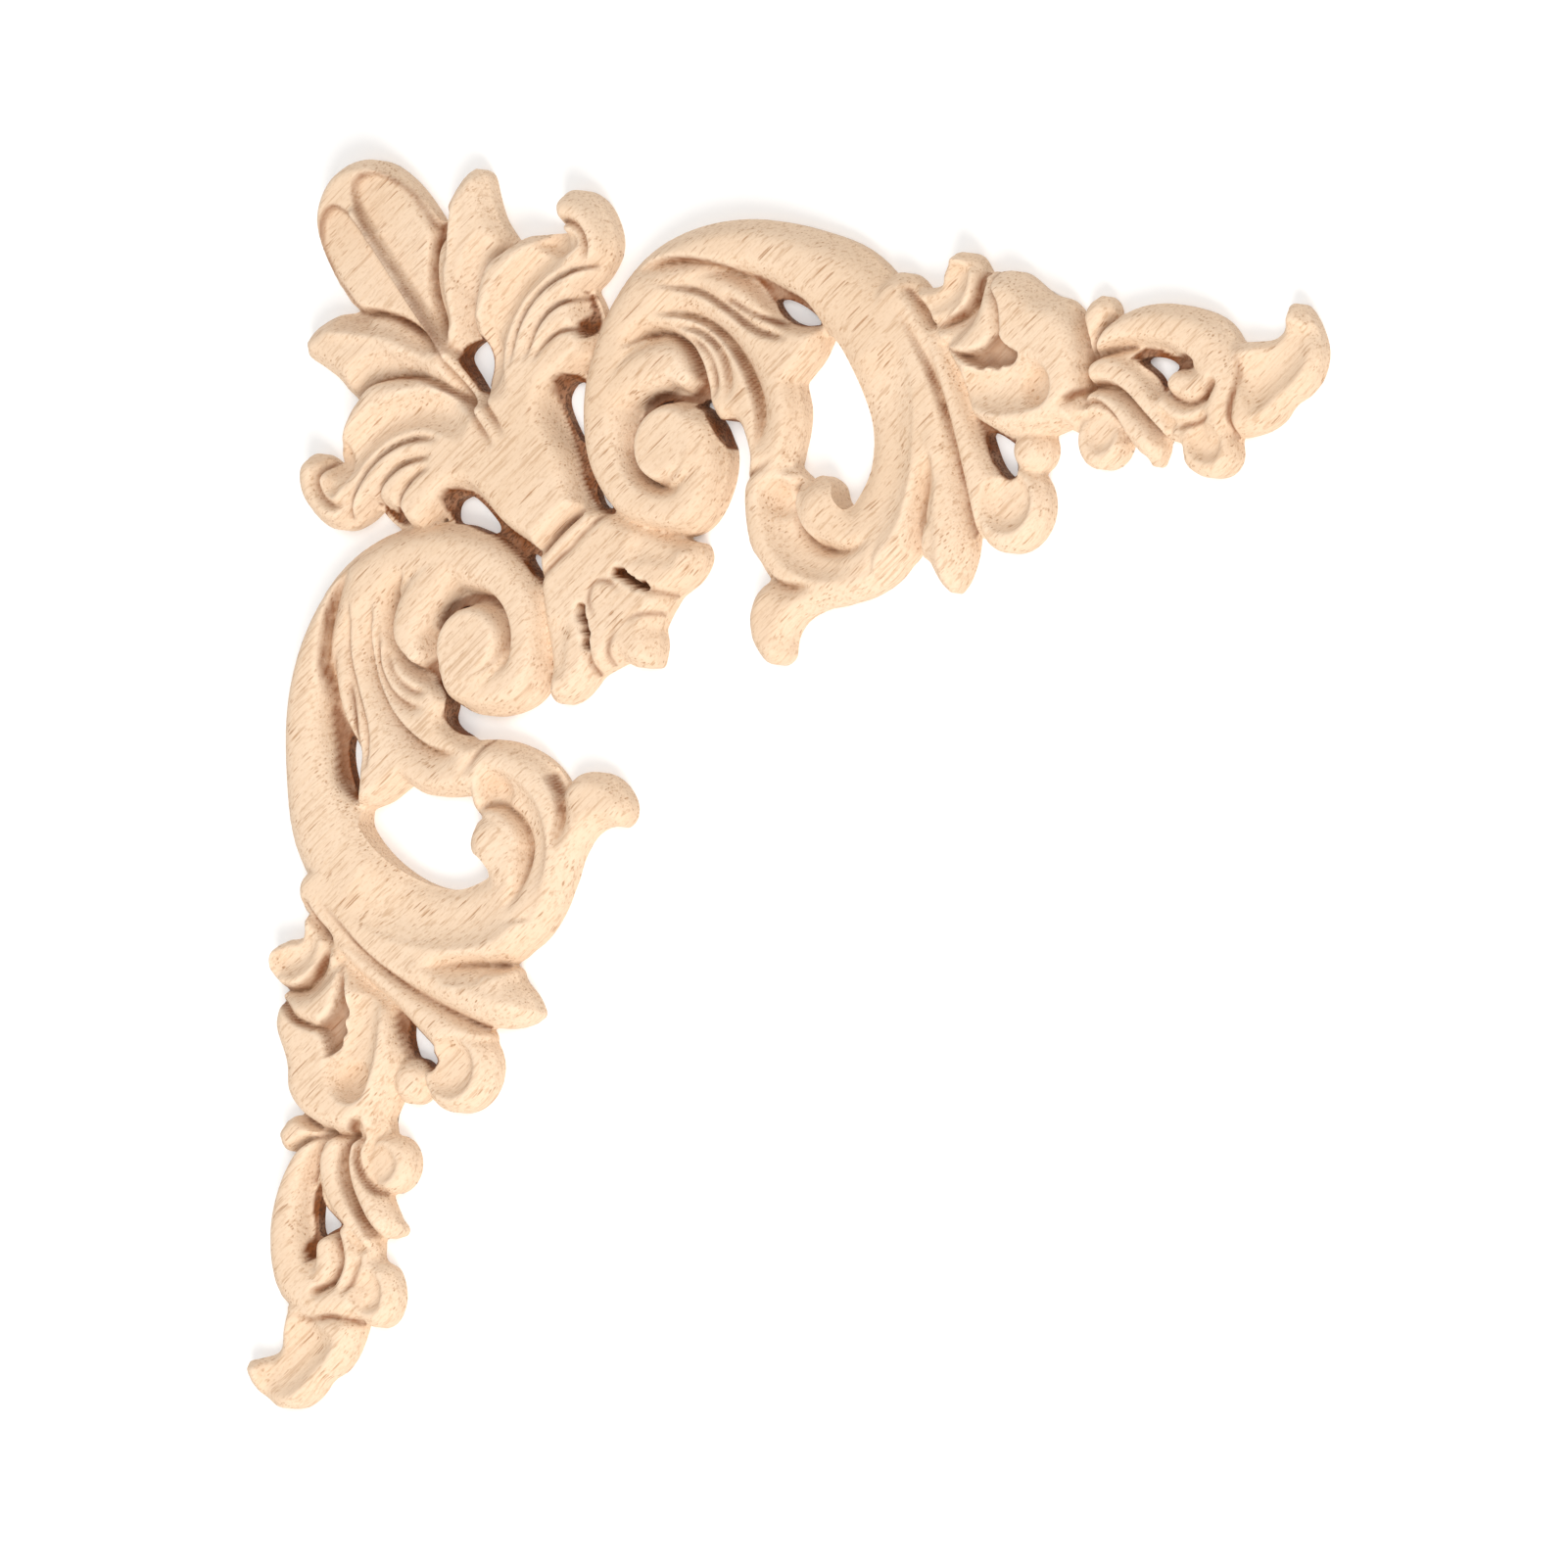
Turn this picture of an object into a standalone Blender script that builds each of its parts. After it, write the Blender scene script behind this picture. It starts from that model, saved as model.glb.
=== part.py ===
"""Corner onlay of carved wood: a palmette at the corner and two mirrored scroll arms.

The piece is a thin board, carved on its face and sawn through between the scrolls. Its flat back lies on
Z = 0. The pattern is drawn once, in millimetres, for the arm along X: U is X and V is minus Y. The other
arm is the same drawing with U and V swapped.
"""
import bmesh
import bpy
import numpy as np
from mathutils import Vector
from mathutils.geometry import delaunay_2d_cdt

# Driving dimensions, in millimetres
LEG_LENGTH = 120.0      # outer side of the corner, from the palmette's edge to the arm's tip
EDGE = 1.2              # height of the sawn edge, all round
LEAST_WOOD = 0.7        # wood left at the bottom of the deepest cuts
EYE = 4.2               # crown heights of the carving, from the eye of the volute down
TRUNK = 4.0
BAND = 3.8
SHELL = 3.6
LEAF = 3.3
CURL = 3.0
FRINGE = 2.6

# Drawing board
DRAWN_LENGTH = 120.0    # the same side in the drawing below
BOARD_LOW = -35.4
BOARD_HIGH = 88.2
BOARD_STEP = 0.3
OFF_BOARD = -9.0
PIT_BORDER = 0.25       # wood kept round a pit, to join it to its neighbours
SOFTENING_PASSES = 2    # rounding left by the carving tool

# Facets
LEAST_LOOP = 0.5        # square millimetres of the smallest outline
OUTLINE_TOLERANCE = 0.07
FACE_TOLERANCE = 0.16
REFINING_ROUNDS = 9
FIRST_SPACING = 9
MOST_FACETS = 9600

MILLIMETRE = 0.001 * LEG_LENGTH / DRAWN_LENGTH
WOOD_COLOUR = (0.78, 0.56, 0.37, 1.0)
WOOD_ROUGHNESS = 0.62
SHARP_ANGLE = np.radians(40.0)

AXIS = np.arange(BOARD_LOW, BOARD_HIGH + BOARD_STEP / 2, BOARD_STEP)
U, V = np.meshgrid(AXIS, AXIS, indexing="ij")


class Board:
    """The carving so far: its surface, and how far inside the outline each point of the grid lies."""

    def __init__(self):
        self.surface = np.zeros(U.shape)
        self.inside = np.full(U.shape, OFF_BOARD)


# Curves

def smooth(points, closed=False, pieces=6):
    """Curve through the points; further columns, such as a width, are carried along."""
    p = np.array(points, float)
    if closed:
        a, b, c, d = np.roll(p, 1, 0), p, np.roll(p, -1, 0), np.roll(p, -2, 0)
    else:
        q = np.vstack([2 * p[0] - p[1], p, 2 * p[-1] - p[-2]])
        a, b, c, d = q[:-3], q[1:-2], q[2:-1], q[3:]
    a, b, c, d = (x[:, None, :] for x in (a, b, c, d))
    t = (np.arange(pieces) / pieces)[None, :, None]
    curve = 2 * b + (c - a) * t + (2 * a - 5 * b + 4 * c - d) * t ** 2 + (3 * b - a - 3 * c + d) * t ** 3
    curve = curve.reshape(-1, p.shape[1]) / 2
    return curve if closed else np.vstack([curve, p[-1]])


def outline(*runs):
    """Closed outline of smooth runs that meet at corners. A single run closes on itself smoothly."""
    if len(runs) == 1:
        return smooth(runs[0], closed=True)
    return np.vstack([smooth(run) for run in runs])


def oval(u, v, radius, stretch=1.0, turn=0.0):
    """Round outline, or one stretched along a line turned by so many degrees."""
    a = np.linspace(0, 2 * np.pi, 40, endpoint=False)
    x, y = radius * stretch * np.cos(a), radius * np.sin(a)
    c, s = np.cos(np.radians(turn)), np.sin(np.radians(turn))
    return np.stack([u + c * x - s * y, v + s * x + c * y], 1)


def mirrored(points):
    """The same points on the other arm."""
    return [(v, u) for u, v in points]


# Measuring on the grid

def window(path, reach):
    """The part of the grid within reach of a path."""
    low = np.floor((path[:, :2].min(0) - reach - BOARD_LOW) / BOARD_STEP).astype(int)
    high = np.ceil((path[:, :2].max(0) + reach - BOARD_LOW) / BOARD_STEP).astype(int) + 1
    low = np.maximum(low, 0)
    return slice(low[0], high[0]), slice(low[1], high[1])


def nearest(path, box, closed=False):
    """Distance from each grid point to a path, the side it lies on, and the path's columns there."""
    rows = np.vstack([path, path[:1]]) if closed else path
    run = np.concatenate([[0], np.cumsum(np.hypot(*np.diff(rows[:, :2], axis=0).T))])
    rows = np.column_stack([rows, run / run[-1]])
    best = np.full(U[box].shape, np.inf)
    side = np.zeros(best.shape)
    columns = np.zeros(best.shape + (rows.shape[1] - 2,))
    for a, b in zip(rows[:-1], rows[1:]):
        du, dv = b[:2] - a[:2]
        span = du * du + dv * dv
        if span == 0:
            continue
        t = np.clip(((U[box] - a[0]) * du + (V[box] - a[1]) * dv) / span, 0, 1)
        eu = U[box] - a[0] - t * du
        ev = V[box] - a[1] - t * dv
        near = eu * eu + ev * ev < best
        best[near] = (eu * eu + ev * ev)[near]
        side[near] = np.sign(du * ev - dv * eu)[near]
        columns[near] = (a[2:] + t[..., None] * (b[2:] - a[2:]))[near]
    return np.sqrt(best), side, columns


def contains(path, u, v):
    """Whether points lie inside a closed outline."""
    result = np.zeros(u.shape, bool)
    for a, b in zip(path, np.roll(path, -1, 0)):
        if a[1] != b[1]:
            crosses = (a[1] > v) != (b[1] > v)
            result ^= crosses & (u < a[0] + (v - a[1]) * (b[0] - a[0]) / (b[1] - a[1]))
    return result


def depth_in(path, box):
    """Distance to a closed outline, positive inside it."""
    distance = nearest(path, box, closed=True)[0]
    return np.where(contains(path, U[box], V[box]), distance, -distance)


# Wood that is left standing

def stand(board, box, inside, surface):
    """Add wood up to a surface, where it is inside."""
    old = board.surface[box]
    board.surface[box] = np.where(inside > 0, np.maximum(old, surface), old)
    board.inside[box] = np.maximum(board.inside[box], inside)


def mass(board, path, crown, roll):
    """Block of a closed outline, rounded from its edge up to its crown over the width of the roll."""
    box = window(path, 1.0)
    inside = depth_in(path, box)
    t = np.clip(inside / roll, 0, 1)
    stand(board, box, inside, EDGE + (crown - EDGE) * (1 - (1 - t) ** 2.8))


def ribbon(board, rows):
    """Rounded band along a path; each row holds U, V, half the width, and the crown."""
    path = smooth(rows)
    box = window(path, path[:, 2].max() + 1)
    distance, _, columns = nearest(path, box)
    half, crown = columns[..., 0], columns[..., 1]
    t = np.clip(distance / half, 0, 1)
    stand(board, box, half - distance, EDGE + (crown - EDGE) * (1 - t ** 3.2))


# Cuts of the carving tools

def cut(board, points, half, depth, section, fades, side=0):
    """Cut along a path, fading in and out over a share of its length, on both sides or on one."""
    path = smooth(points)
    box = window(path, half + 1)
    distance, which, columns = nearest(path, box)
    along = columns[..., 0]
    strength = np.ones(along.shape)
    for share, way in zip(fades, (along, 1 - along)):
        if share:
            strength *= np.clip(way / share, 0, 1)
    amount = depth * np.sin(strength * np.pi / 2) * section(np.clip(distance / half, 0, 1))
    if side:
        amount = np.where(which == side, amount, 0)
    board.surface[box] -= amount


def crease(board, points, half, depth, fades=(0.2, 0.2)):
    """Sharp valley between two rounded folds."""
    cut(board, points, half, depth, lambda t: (1 - t) ** 2, fades)


def flute(board, points, half, depth, fades=(0.25, 0.25)):
    """Channel of a round gouge."""
    cut(board, points, half, depth, lambda t: 1 - t ** 2, fades)


def rib(board, points, half, rise, fades=(0.25, 0.25)):
    """Raised line."""
    cut(board, points, half, -rise, lambda t: (1 - t) ** 1.5, fades)


def stop_cut(board, points, half, depth, side, fades=(0.15, 0.15)):
    """Step at an overlap: the surface drops at the line and climbs back on one side of it."""
    cut(board, points, half, depth, lambda t: (1 - t) ** 1.5, fades, side)


def bowl(board, path, depth, roll):
    """Dished hollow of a closed outline."""
    box = window(path, 1.0)
    t = np.clip(depth_in(path, box) / roll, 0, 1)
    board.surface[box] -= depth * (1 - (1 - t) ** 2)


def pit(board, path, floor, draft):
    """Deep hollow with leaning walls and a thin floor. It has wood of its own under it."""
    box = window(path, 1.0)
    inside = depth_in(path, box)
    surface = np.where(board.inside[box] > 0, board.surface[box], floor)
    t = np.clip(inside / draft, 0, 1)
    board.surface[box] = surface + t * np.minimum(floor - surface, 0)
    board.inside[box] = np.maximum(board.inside[box], inside + PIT_BORDER)


def opening(board, path):
    """Hole sawn right through."""
    box = window(path, 3.0)
    board.inside[box] = np.minimum(board.inside[box], -depth_in(path, box))


# The pattern, for the arm along U

def scroll_and_volute(board):
    ribbon(board, [(14.3, -11.4, 1.6, BAND), (16.1, -9.1, 2.0, BAND), (16.1, -6.2, 2.3, BAND),
                   (14.4, -3.2, 2.5, BAND), (11.2, -2.8, 2.2, BAND), (7.9, -3.8, 2.7, BAND),
                   (5.0, -6.8, 2.9, BAND), (3.8, -10.6, 3.1, BAND), (3.8, -14.8, 3.2, BAND),
                   (5.4, -20.0, 3.4, SHELL), (8.8, -24.3, 3.5, SHELL), (13.3, -27.2, 2.9, BAND),
                   (19.0, -28.3, 2.8, BAND), (25.0, -27.2, 3.5, BAND), (30.4, -24.8, 4.5, BAND),
                   (35.0, -20.6, 4.6, BAND), (38.4, -14.8, 4.4, BAND), (38.9, -8.6, 4.0, SHELL),
                   (37.3, -3.2, 4.2, SHELL), (33.0, 1.2, 3.4, LEAF), (28.6, 1.5, 3.3, LEAF),
                   (25.2, -0.6, 3.1, LEAF), (23.4, -4.6, 2.7, LEAF), (23.7, -8.4, 2.7, LEAF)])
    mass(board, oval(14.3, -9.0, 3.7), TRUNK, 1.6)
    # disc of the eye
    mass(board, oval(12.2, -8.8, 4.3), EYE, 1.2)
    # lip that curls over the eye
    ribbon(board, [(4.6, -13.6, 2.8, BAND), (8.2, -15.8, 2.9, TRUNK), (11.2, -16.6, 2.6, TRUNK),
                   (13.2, -15.6, 1.6, BAND)])


def acanthus(board):
    mass(board, outline([(5.8, -17.5), (6.0, -24.0), (9.0, -26.6), (14.0, -26.7), (18.0, -25.6),
                         (20.6, -24.1), (22.6, -22.2), (25.0, -21.5), (28.6, -21.4)], [(28.6, -21.4),
                        (28.4, -20.4), (27.8, -18.7), (25.6, -15.9)], [(25.6, -15.9), (26.5, -13.6),
                        (26.6, -11.2), (26.1, -8.0)], [(26.1, -8.0), (24.0, -7.0), (21.0, -6.4)],
                        [(21.0, -6.4), (21.1, -8.2), (20.4, -10.0), (19.3, -11.6), (17.6, -11.4),
                         (16.3, -12.4), (15.2, -14.4), (13.9, -16.6), (11.6, -18.4), (8.6, -18.9)]), LEAF,
         1.7)
    stop_cut(board, [(5.6, -24.8), (9.0, -26.3), (14.0, -26.6), (18.0, -25.8), (21.0, -24.6)], 3.4, 1.8,
             1, (0.3, 0.0))
    stop_cut(board, [(8.6, -21.2), (12.6, -21.2), (16.0, -20.1), (18.8, -18.0), (20.9, -15.4),
                     (22.2, -12.4), (22.4, -9.0)], 3.0, 1.9, -1, (0.3, 0.25))
    stop_cut(board, [(8.6, -23.9), (13.6, -23.6), (17.6, -22.0), (21.0, -20.4), (25.0, -19.8)], 2.4, 1.1,
             -1, (0.3, 0.2))
    stop_cut(board, [(11.0, -20.3), (14.6, -19.7), (17.0, -18.0), (18.2, -15.8), (18.4, -13.6)], 1.8, 1.0,
             -1, (0.3, 0.25))
    stop_cut(board, [(16.4, -23.4), (20.4, -22.0), (24.6, -21.1)], 1.3, 0.6, -1)
    crease(board, [(13.0, -19.4), (15.4, -18.0), (16.8, -15.8), (17.0, -13.6)], 0.9, 0.8)
    stop_cut(board, [(5.6, -17.6), (7.6, -18.9), (10.0, -19.3), (12.4, -18.4), (14.0, -16.6),
                     (14.9, -14.6)], 2.0, 1.9, -1, (0.25, 0.0))


def eye_groove(board):
    crease(board, [(7.4, -9.8), (7.2, -8.0), (8.2, -6.2), (9.8, -5.2), (11.6, -5.0), (13.4, -5.8),
                   (14.8, -7.4)], 1.1, 1.7, (0.0, 0.6))


def lower_curl(board):
    # wood under the curl and beside the pointed leaf
    mass(board, outline([(33.0, -24.0), (36.0, -27.2), (39.6, -25.6), (44.0, -17.0), (46.4, -9.0),
                         (46.6, -4.0)], [(46.6, -4.0), (42.3, -2.6)], [(42.3, -2.6), (40.6, 0.1),
                        (37.0, 2.0), (36.0, -10.0), (33.0, -24.0)]), SHELL, 2.2)
    mass(board, outline([(23.0, -8.6), (26.1, -8.0), (28.0, -6.8), (31.0, -3.0), (31.0, 1.0), (26.0, 1.0),
                         (23.0, -3.0)]), CURL, 1.6)
    ribbon(board, [(30.4, -4.4, 3.1, SHELL), (32.4, -2.8, 2.8, LEAF), (35.0, -2.4, 2.2, LEAF)])
    # tail leaf
    mass(board, outline([(22.8, -0.2), (24.4, 2.6), (23.2, 4.7), (22.8, 6.8), (23.5, 9.0), (25.2, 10.7),
                         (26.8, 10.9), (27.8, 10.1)], [(27.8, 10.1), (27.9, 8.0), (29.2, 6.2),
                        (32.0, 4.9), (36.0, 3.8), (39.2, 1.8), (41.2, -1.0)], [(41.2, -1.0), (34.0, 0.5),
                        (22.8, -0.2)]), CURL, 1.9)
    flute(board, [(35.4, -19.5), (37.2, -15.5), (37.9, -10.5), (37.7, -6.4), (36.4, -3.2), (33.6, -1.2)],
          3.4, 1.2, (0.3, 0.35))
    crease(board, [(27.6, -6.9), (26.9, -4.8), (27.8, -2.4), (29.6, -0.9), (32.0, -0.3), (34.6, -0.6),
                   (37.0, -1.9)], 1.1, 1.8, (0.1, 0.5))
    flute(board, [(25.0, -6.8), (25.4, -4.0), (27.2, -1.0), (30.2, 0.6), (33.6, 0.6), (36.6, -0.8)], 2.0,
          1.3, (0.1, 0.5))
    bowl(board, oval(25.6, -4.8, 2.0), 0.9, 2.0)
    stop_cut(board, [(23.6, 1.2), (25.5, 2.7), (27.5, 3.3), (30.5, 3.1)], 2.4, 1.6, 1, (0.0, 0.5))
    crease(board, [(20.7, -6.2), (22.6, -7.2), (24.6, -8.4)], 1.0, 0.6, (0.0, 0.6))


def pointed_leaves(board):
    mass(board, outline([(39.0, -22.0), (42.4, -12.0), (42.0, -1.9), (43.4, -0.1), (44.8, 1.6),
                         (46.4, 2.7)], [(46.4, 2.7), (47.5, 1.0), (48.1, -2.0), (47.6, -5.8),
                                        (45.4, -12.4), (42.0, -19.0), (38.6, -23.6)]), SHELL, 2.6)
    mass(board, outline([(37.4, -26.4), (40.6, -24.0), (43.6, -20.6), (46.6, -15.4), (48.4, -12.6),
                         (51.2, -8.6)], [(51.2, -8.6), (49.4, -2.9), (46.6, -7.0), (37.4, -26.4)]), LEAF,
         2.2)
    # scooped round at the second leaf's end, and the ball above it
    mass(board, oval(52.5, -5.9, 4.0, 1.06, -60), CURL, 1.6)
    mass(board, oval(54.0, -11.6, 2.2), CURL, 1.9)
    bowl(board, oval(52.4, -6.5, 3.0), 1.2, 1.5)
    crease(board, [(42.1, -1.8), (42.3, -5.0), (42.7, -8.0), (43.4, -11.0)], 1.5, 1.6, (0.0, 0.7))
    flute(board, [(42.6, -3.4), (43.0, -6.4), (44.0, -10.4)], 1.6, 0.7, (0.1, 0.6))
    rib(board, [(46.2, 1.6), (45.6, -2.0), (44.6, -7.0), (42.8, -12.6)], 1.2, 0.35)
    stop_cut(board, [(37.4, -24.0), (40.3, -20.4), (42.2, -17.8), (44.2, -14.2), (46.2, -9.6),
                     (47.6, -5.4), (48.3, -2.6)], 2.4, 1.8, -1, (0.25, 0.0))


def curl_leaves(board):
    mass(board, outline([(38.6, -25.8), (41.3, -26.4), (41.9, -28.2), (43.0, -29.6), (44.9, -29.5),
                         (46.4, -27.9)], [(46.4, -27.9), (46.3, -25.8), (45.1, -24.3), (43.0, -22.9),
                                          (41.4, -22.3)], [(41.4, -22.3), (38.6, -25.8)]), SHELL, 1.2)
    mass(board, outline([(43.0, -24.0), (46.4, -27.9), (48.6, -27.7), (49.8, -25.6), (49.6, -23.8),
                         (48.2, -21.8), (45.8, -20.6), (42.6, -20.7)], [(42.6, -20.7), (41.4, -22.3),
                        (43.0, -24.0)]), LEAF, 1.1)
    flute(board, [(43.8, -28.8), (43.7, -26.6), (42.2, -25.0), (39.8, -24.6)], 2.0, 1.4, (0.15, 0.5))
    flute(board, [(47.6, -27.4), (47.4, -24.8), (46.0, -22.9), (43.2, -21.7)], 1.6, 1.2, (0.1, 0.4))
    stop_cut(board, [(46.4, -28.4), (46.3, -25.7), (45.2, -24.1), (43.2, -22.9), (41.6, -22.2)], 1.5, 1.6,
             -1, (0.0, 0.2))
    crease(board, [(37.8, -26.0), (39.8, -24.2), (41.6, -22.2)], 0.9, 1.1, (0.1, 0.1))


def calyx(board):
    mass(board, outline([(46.6, -27.6), (48.7, -28.3), (50.7, -28.2), (53.7, -26.6), (56.4, -26.0),
                         (58.6, -24.0), (59.8, -21.2)], [(59.8, -21.2), (60.2, -17.6), (59.4, -13.9)],
                        [(59.4, -13.9), (57.9, -14.1), (55.8, -13.3), (51.9, -12.3), (48.8, -13.0),
                         (46.9, -14.2)], [(46.9, -14.2), (45.1, -17.6), (42.6, -20.6)], [(42.6, -20.6),
                        (46.0, -24.0), (46.6, -27.6)]), TRUNK, 2.8)
    stop_cut(board, [(47.6, -28.4), (48.2, -26.6), (49.4, -25.0), (50.0, -22.6)], 1.4, 1.4, 1, (0.0, 0.0))
    bowl(board, outline([(52.4, -20.6), (55.4, -20.2), (56.8, -18.2), (56.2, -16.0), (52.6, -14.7),
                         (48.2, -14.8), (46.4, -16.6), (46.6, -18.8), (49.6, -19.4)]), 1.4, 2.2)
    bowl(board, oval(54.6, -17.4, 2.3), 0.9, 1.8)
    # pocket behind the curled leaves
    pit(board, outline([(42.4, -21.0), (44.4, -20.5), (46.4, -20.4), (48.4, -21.0), (49.8, -22.8)],
                       [(49.8, -22.8), (50.8, -21.5), (52.8, -20.7)], [(52.8, -20.7), (51.6, -19.4),
                       (50.6, -19.2), (50.1, -18.8), (49.0, -19.0), (48.3, -18.7), (46.8, -19.1),
                       (46.0, -19.4), (44.4, -20.0), (42.4, -21.0)]), 1.8, 0.8)


def end_leaves(board):
    mass(board, outline([(57.0, -20.6), (61.6, -22.4), (66.0, -21.6), (68.6, -18.0), (71.0, -19.6),
                         (75.0, -20.6), (76.0, -16.0), (71.0, -13.8), (66.0, -14.4), (60.2, -13.6),
                         (57.0, -15.0)]), FRINGE - 0.7, 1.0)
    mass(board, outline([(59.8, -20.8), (58.4, -24.2), (59.0, -25.9), (60.4, -26.9)], [(60.4, -26.9),
                        (61.6, -26.1), (61.8, -24.6), (59.8, -20.8)]), FRINGE, 1.4)
    # arch over the gap, and the two leaves below it
    ribbon(board, [(59.7, -21.6, 0.9, FRINGE), (62.4, -23.3, 1.3, CURL), (66.0, -24.4, 1.9, CURL),
                   (70.0, -24.3, 2.3, LEAF), (73.8, -22.6, 2.8, LEAF), (75.6, -18.8, 2.2, LEAF),
                   (75.2, -15.0, 1.8, CURL)])
    ribbon(board, [(58.6, -19.6, 1.5, CURL), (62.0, -19.9, 1.7, CURL), (64.8, -19.1, 1.7, CURL),
                   (67.4, -17.0, 1.4, CURL), (69.4, -14.8, 1.0, FRINGE)])
    ribbon(board, [(58.4, -16.2, 1.5, CURL), (61.2, -16.8, 1.5, CURL), (64.2, -16.0, 1.7, CURL),
                   (66.8, -14.4, 1.7, CURL), (68.0, -12.9, 1.3, FRINGE), (68.3, -11.7, 0.6, EDGE)])
    mass(board, oval(62.1, -13.2, 2.8), FRINGE, 1.0)
    bowl(board, oval(61.9, -13.8, 2.3), 0.9, 1.2)
    ribbon(board, [(70.6, -19.3, 1.5, CURL), (72.6, -19.1, 1.6, CURL), (74.2, -20.0, 1.2, CURL)])
    ribbon(board, [(69.4, -17.4, 1.2, CURL), (71.6, -16.6, 1.4, CURL), (74.0, -17.2, 1.4, CURL)])
    mass(board, outline([(69.8, -13.7), (71.3, -13.5), (72.2, -11.6), (74.6, -10.6), (76.8, -11.1),
                         (77.8, -12.6), (77.4, -14.6)], [(77.4, -14.6), (76.6, -18.0), (72.0, -18.0),
                        (69.8, -13.7)]), FRINGE, 1.3)
    bowl(board, outline([(72.4, -13.8), (73.6, -12.2), (76.0, -12.2), (76.6, -14.2), (75.2, -15.8),
                         (73.2, -15.4)]), 0.9, 1.1)
    stop_cut(board, [(58.4, -16.8), (60.4, -18.2), (62.8, -18.5), (65.0, -17.6), (67.0, -16.1),
                     (69.2, -14.4)], 1.8, 1.6, 1, (0.0, 0.0))
    stop_cut(board, [(59.4, -16.2), (61.4, -16.8), (63.4, -15.9), (64.8, -14.4), (65.2, -13.0)], 1.6, 1.1,
             1, (0.1, 0.1))
    crease(board, [(59.6, -20.2), (61.8, -21.5), (64.6, -22.3)], 0.9, 1.5, (0.0, 0.0))
    crease(board, [(60.0, -20.6), (60.6, -22.8), (61.9, -24.8)], 0.8, 1.5, (0.0, 0.0))
    stop_cut(board, [(69.0, -18.6), (70.4, -17.8), (72.2, -17.4), (74.0, -18.2), (75.2, -20.2)], 1.6, 1.4,
             1, (0.0, 0.1))
    crease(board, [(71.0, -15.0), (73.4, -15.6), (75.2, -16.6)], 0.9, 0.7)


def claw(board):
    mass(board, outline([(76.2, -23.6), (79.0, -23.8), (80.9, -24.3), (81.9, -26.0), (82.4, -27.5),
                         (83.6, -27.6), (85.2, -26.0), (86.4, -23.6), (86.2, -21.2), (85.0, -19.4),
                         (83.3, -18.2), (82.2, -16.6), (80.4, -15.4), (77.8, -14.6)], [(77.8, -14.6),
                        (75.6, -17.0), (76.2, -23.6)]), CURL, 1.6)
    flute(board, [(83.4, -26.0), (83.2, -23.4), (81.0, -20.8), (78.0, -19.0)], 3.0, 1.3, (0.15, 0.2))
    stop_cut(board, [(77.0, -23.8), (77.7, -20.4), (77.2, -17.2), (77.6, -14.4)], 1.8, 1.1, -1,
             (0.0, 0.0))
    crease(board, [(57.6, -25.4), (58.9, -23.2), (59.7, -20.6), (59.9, -17.6), (59.4, -15.4)], 0.9, 1.7,
           (0.0, 0.3))


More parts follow.
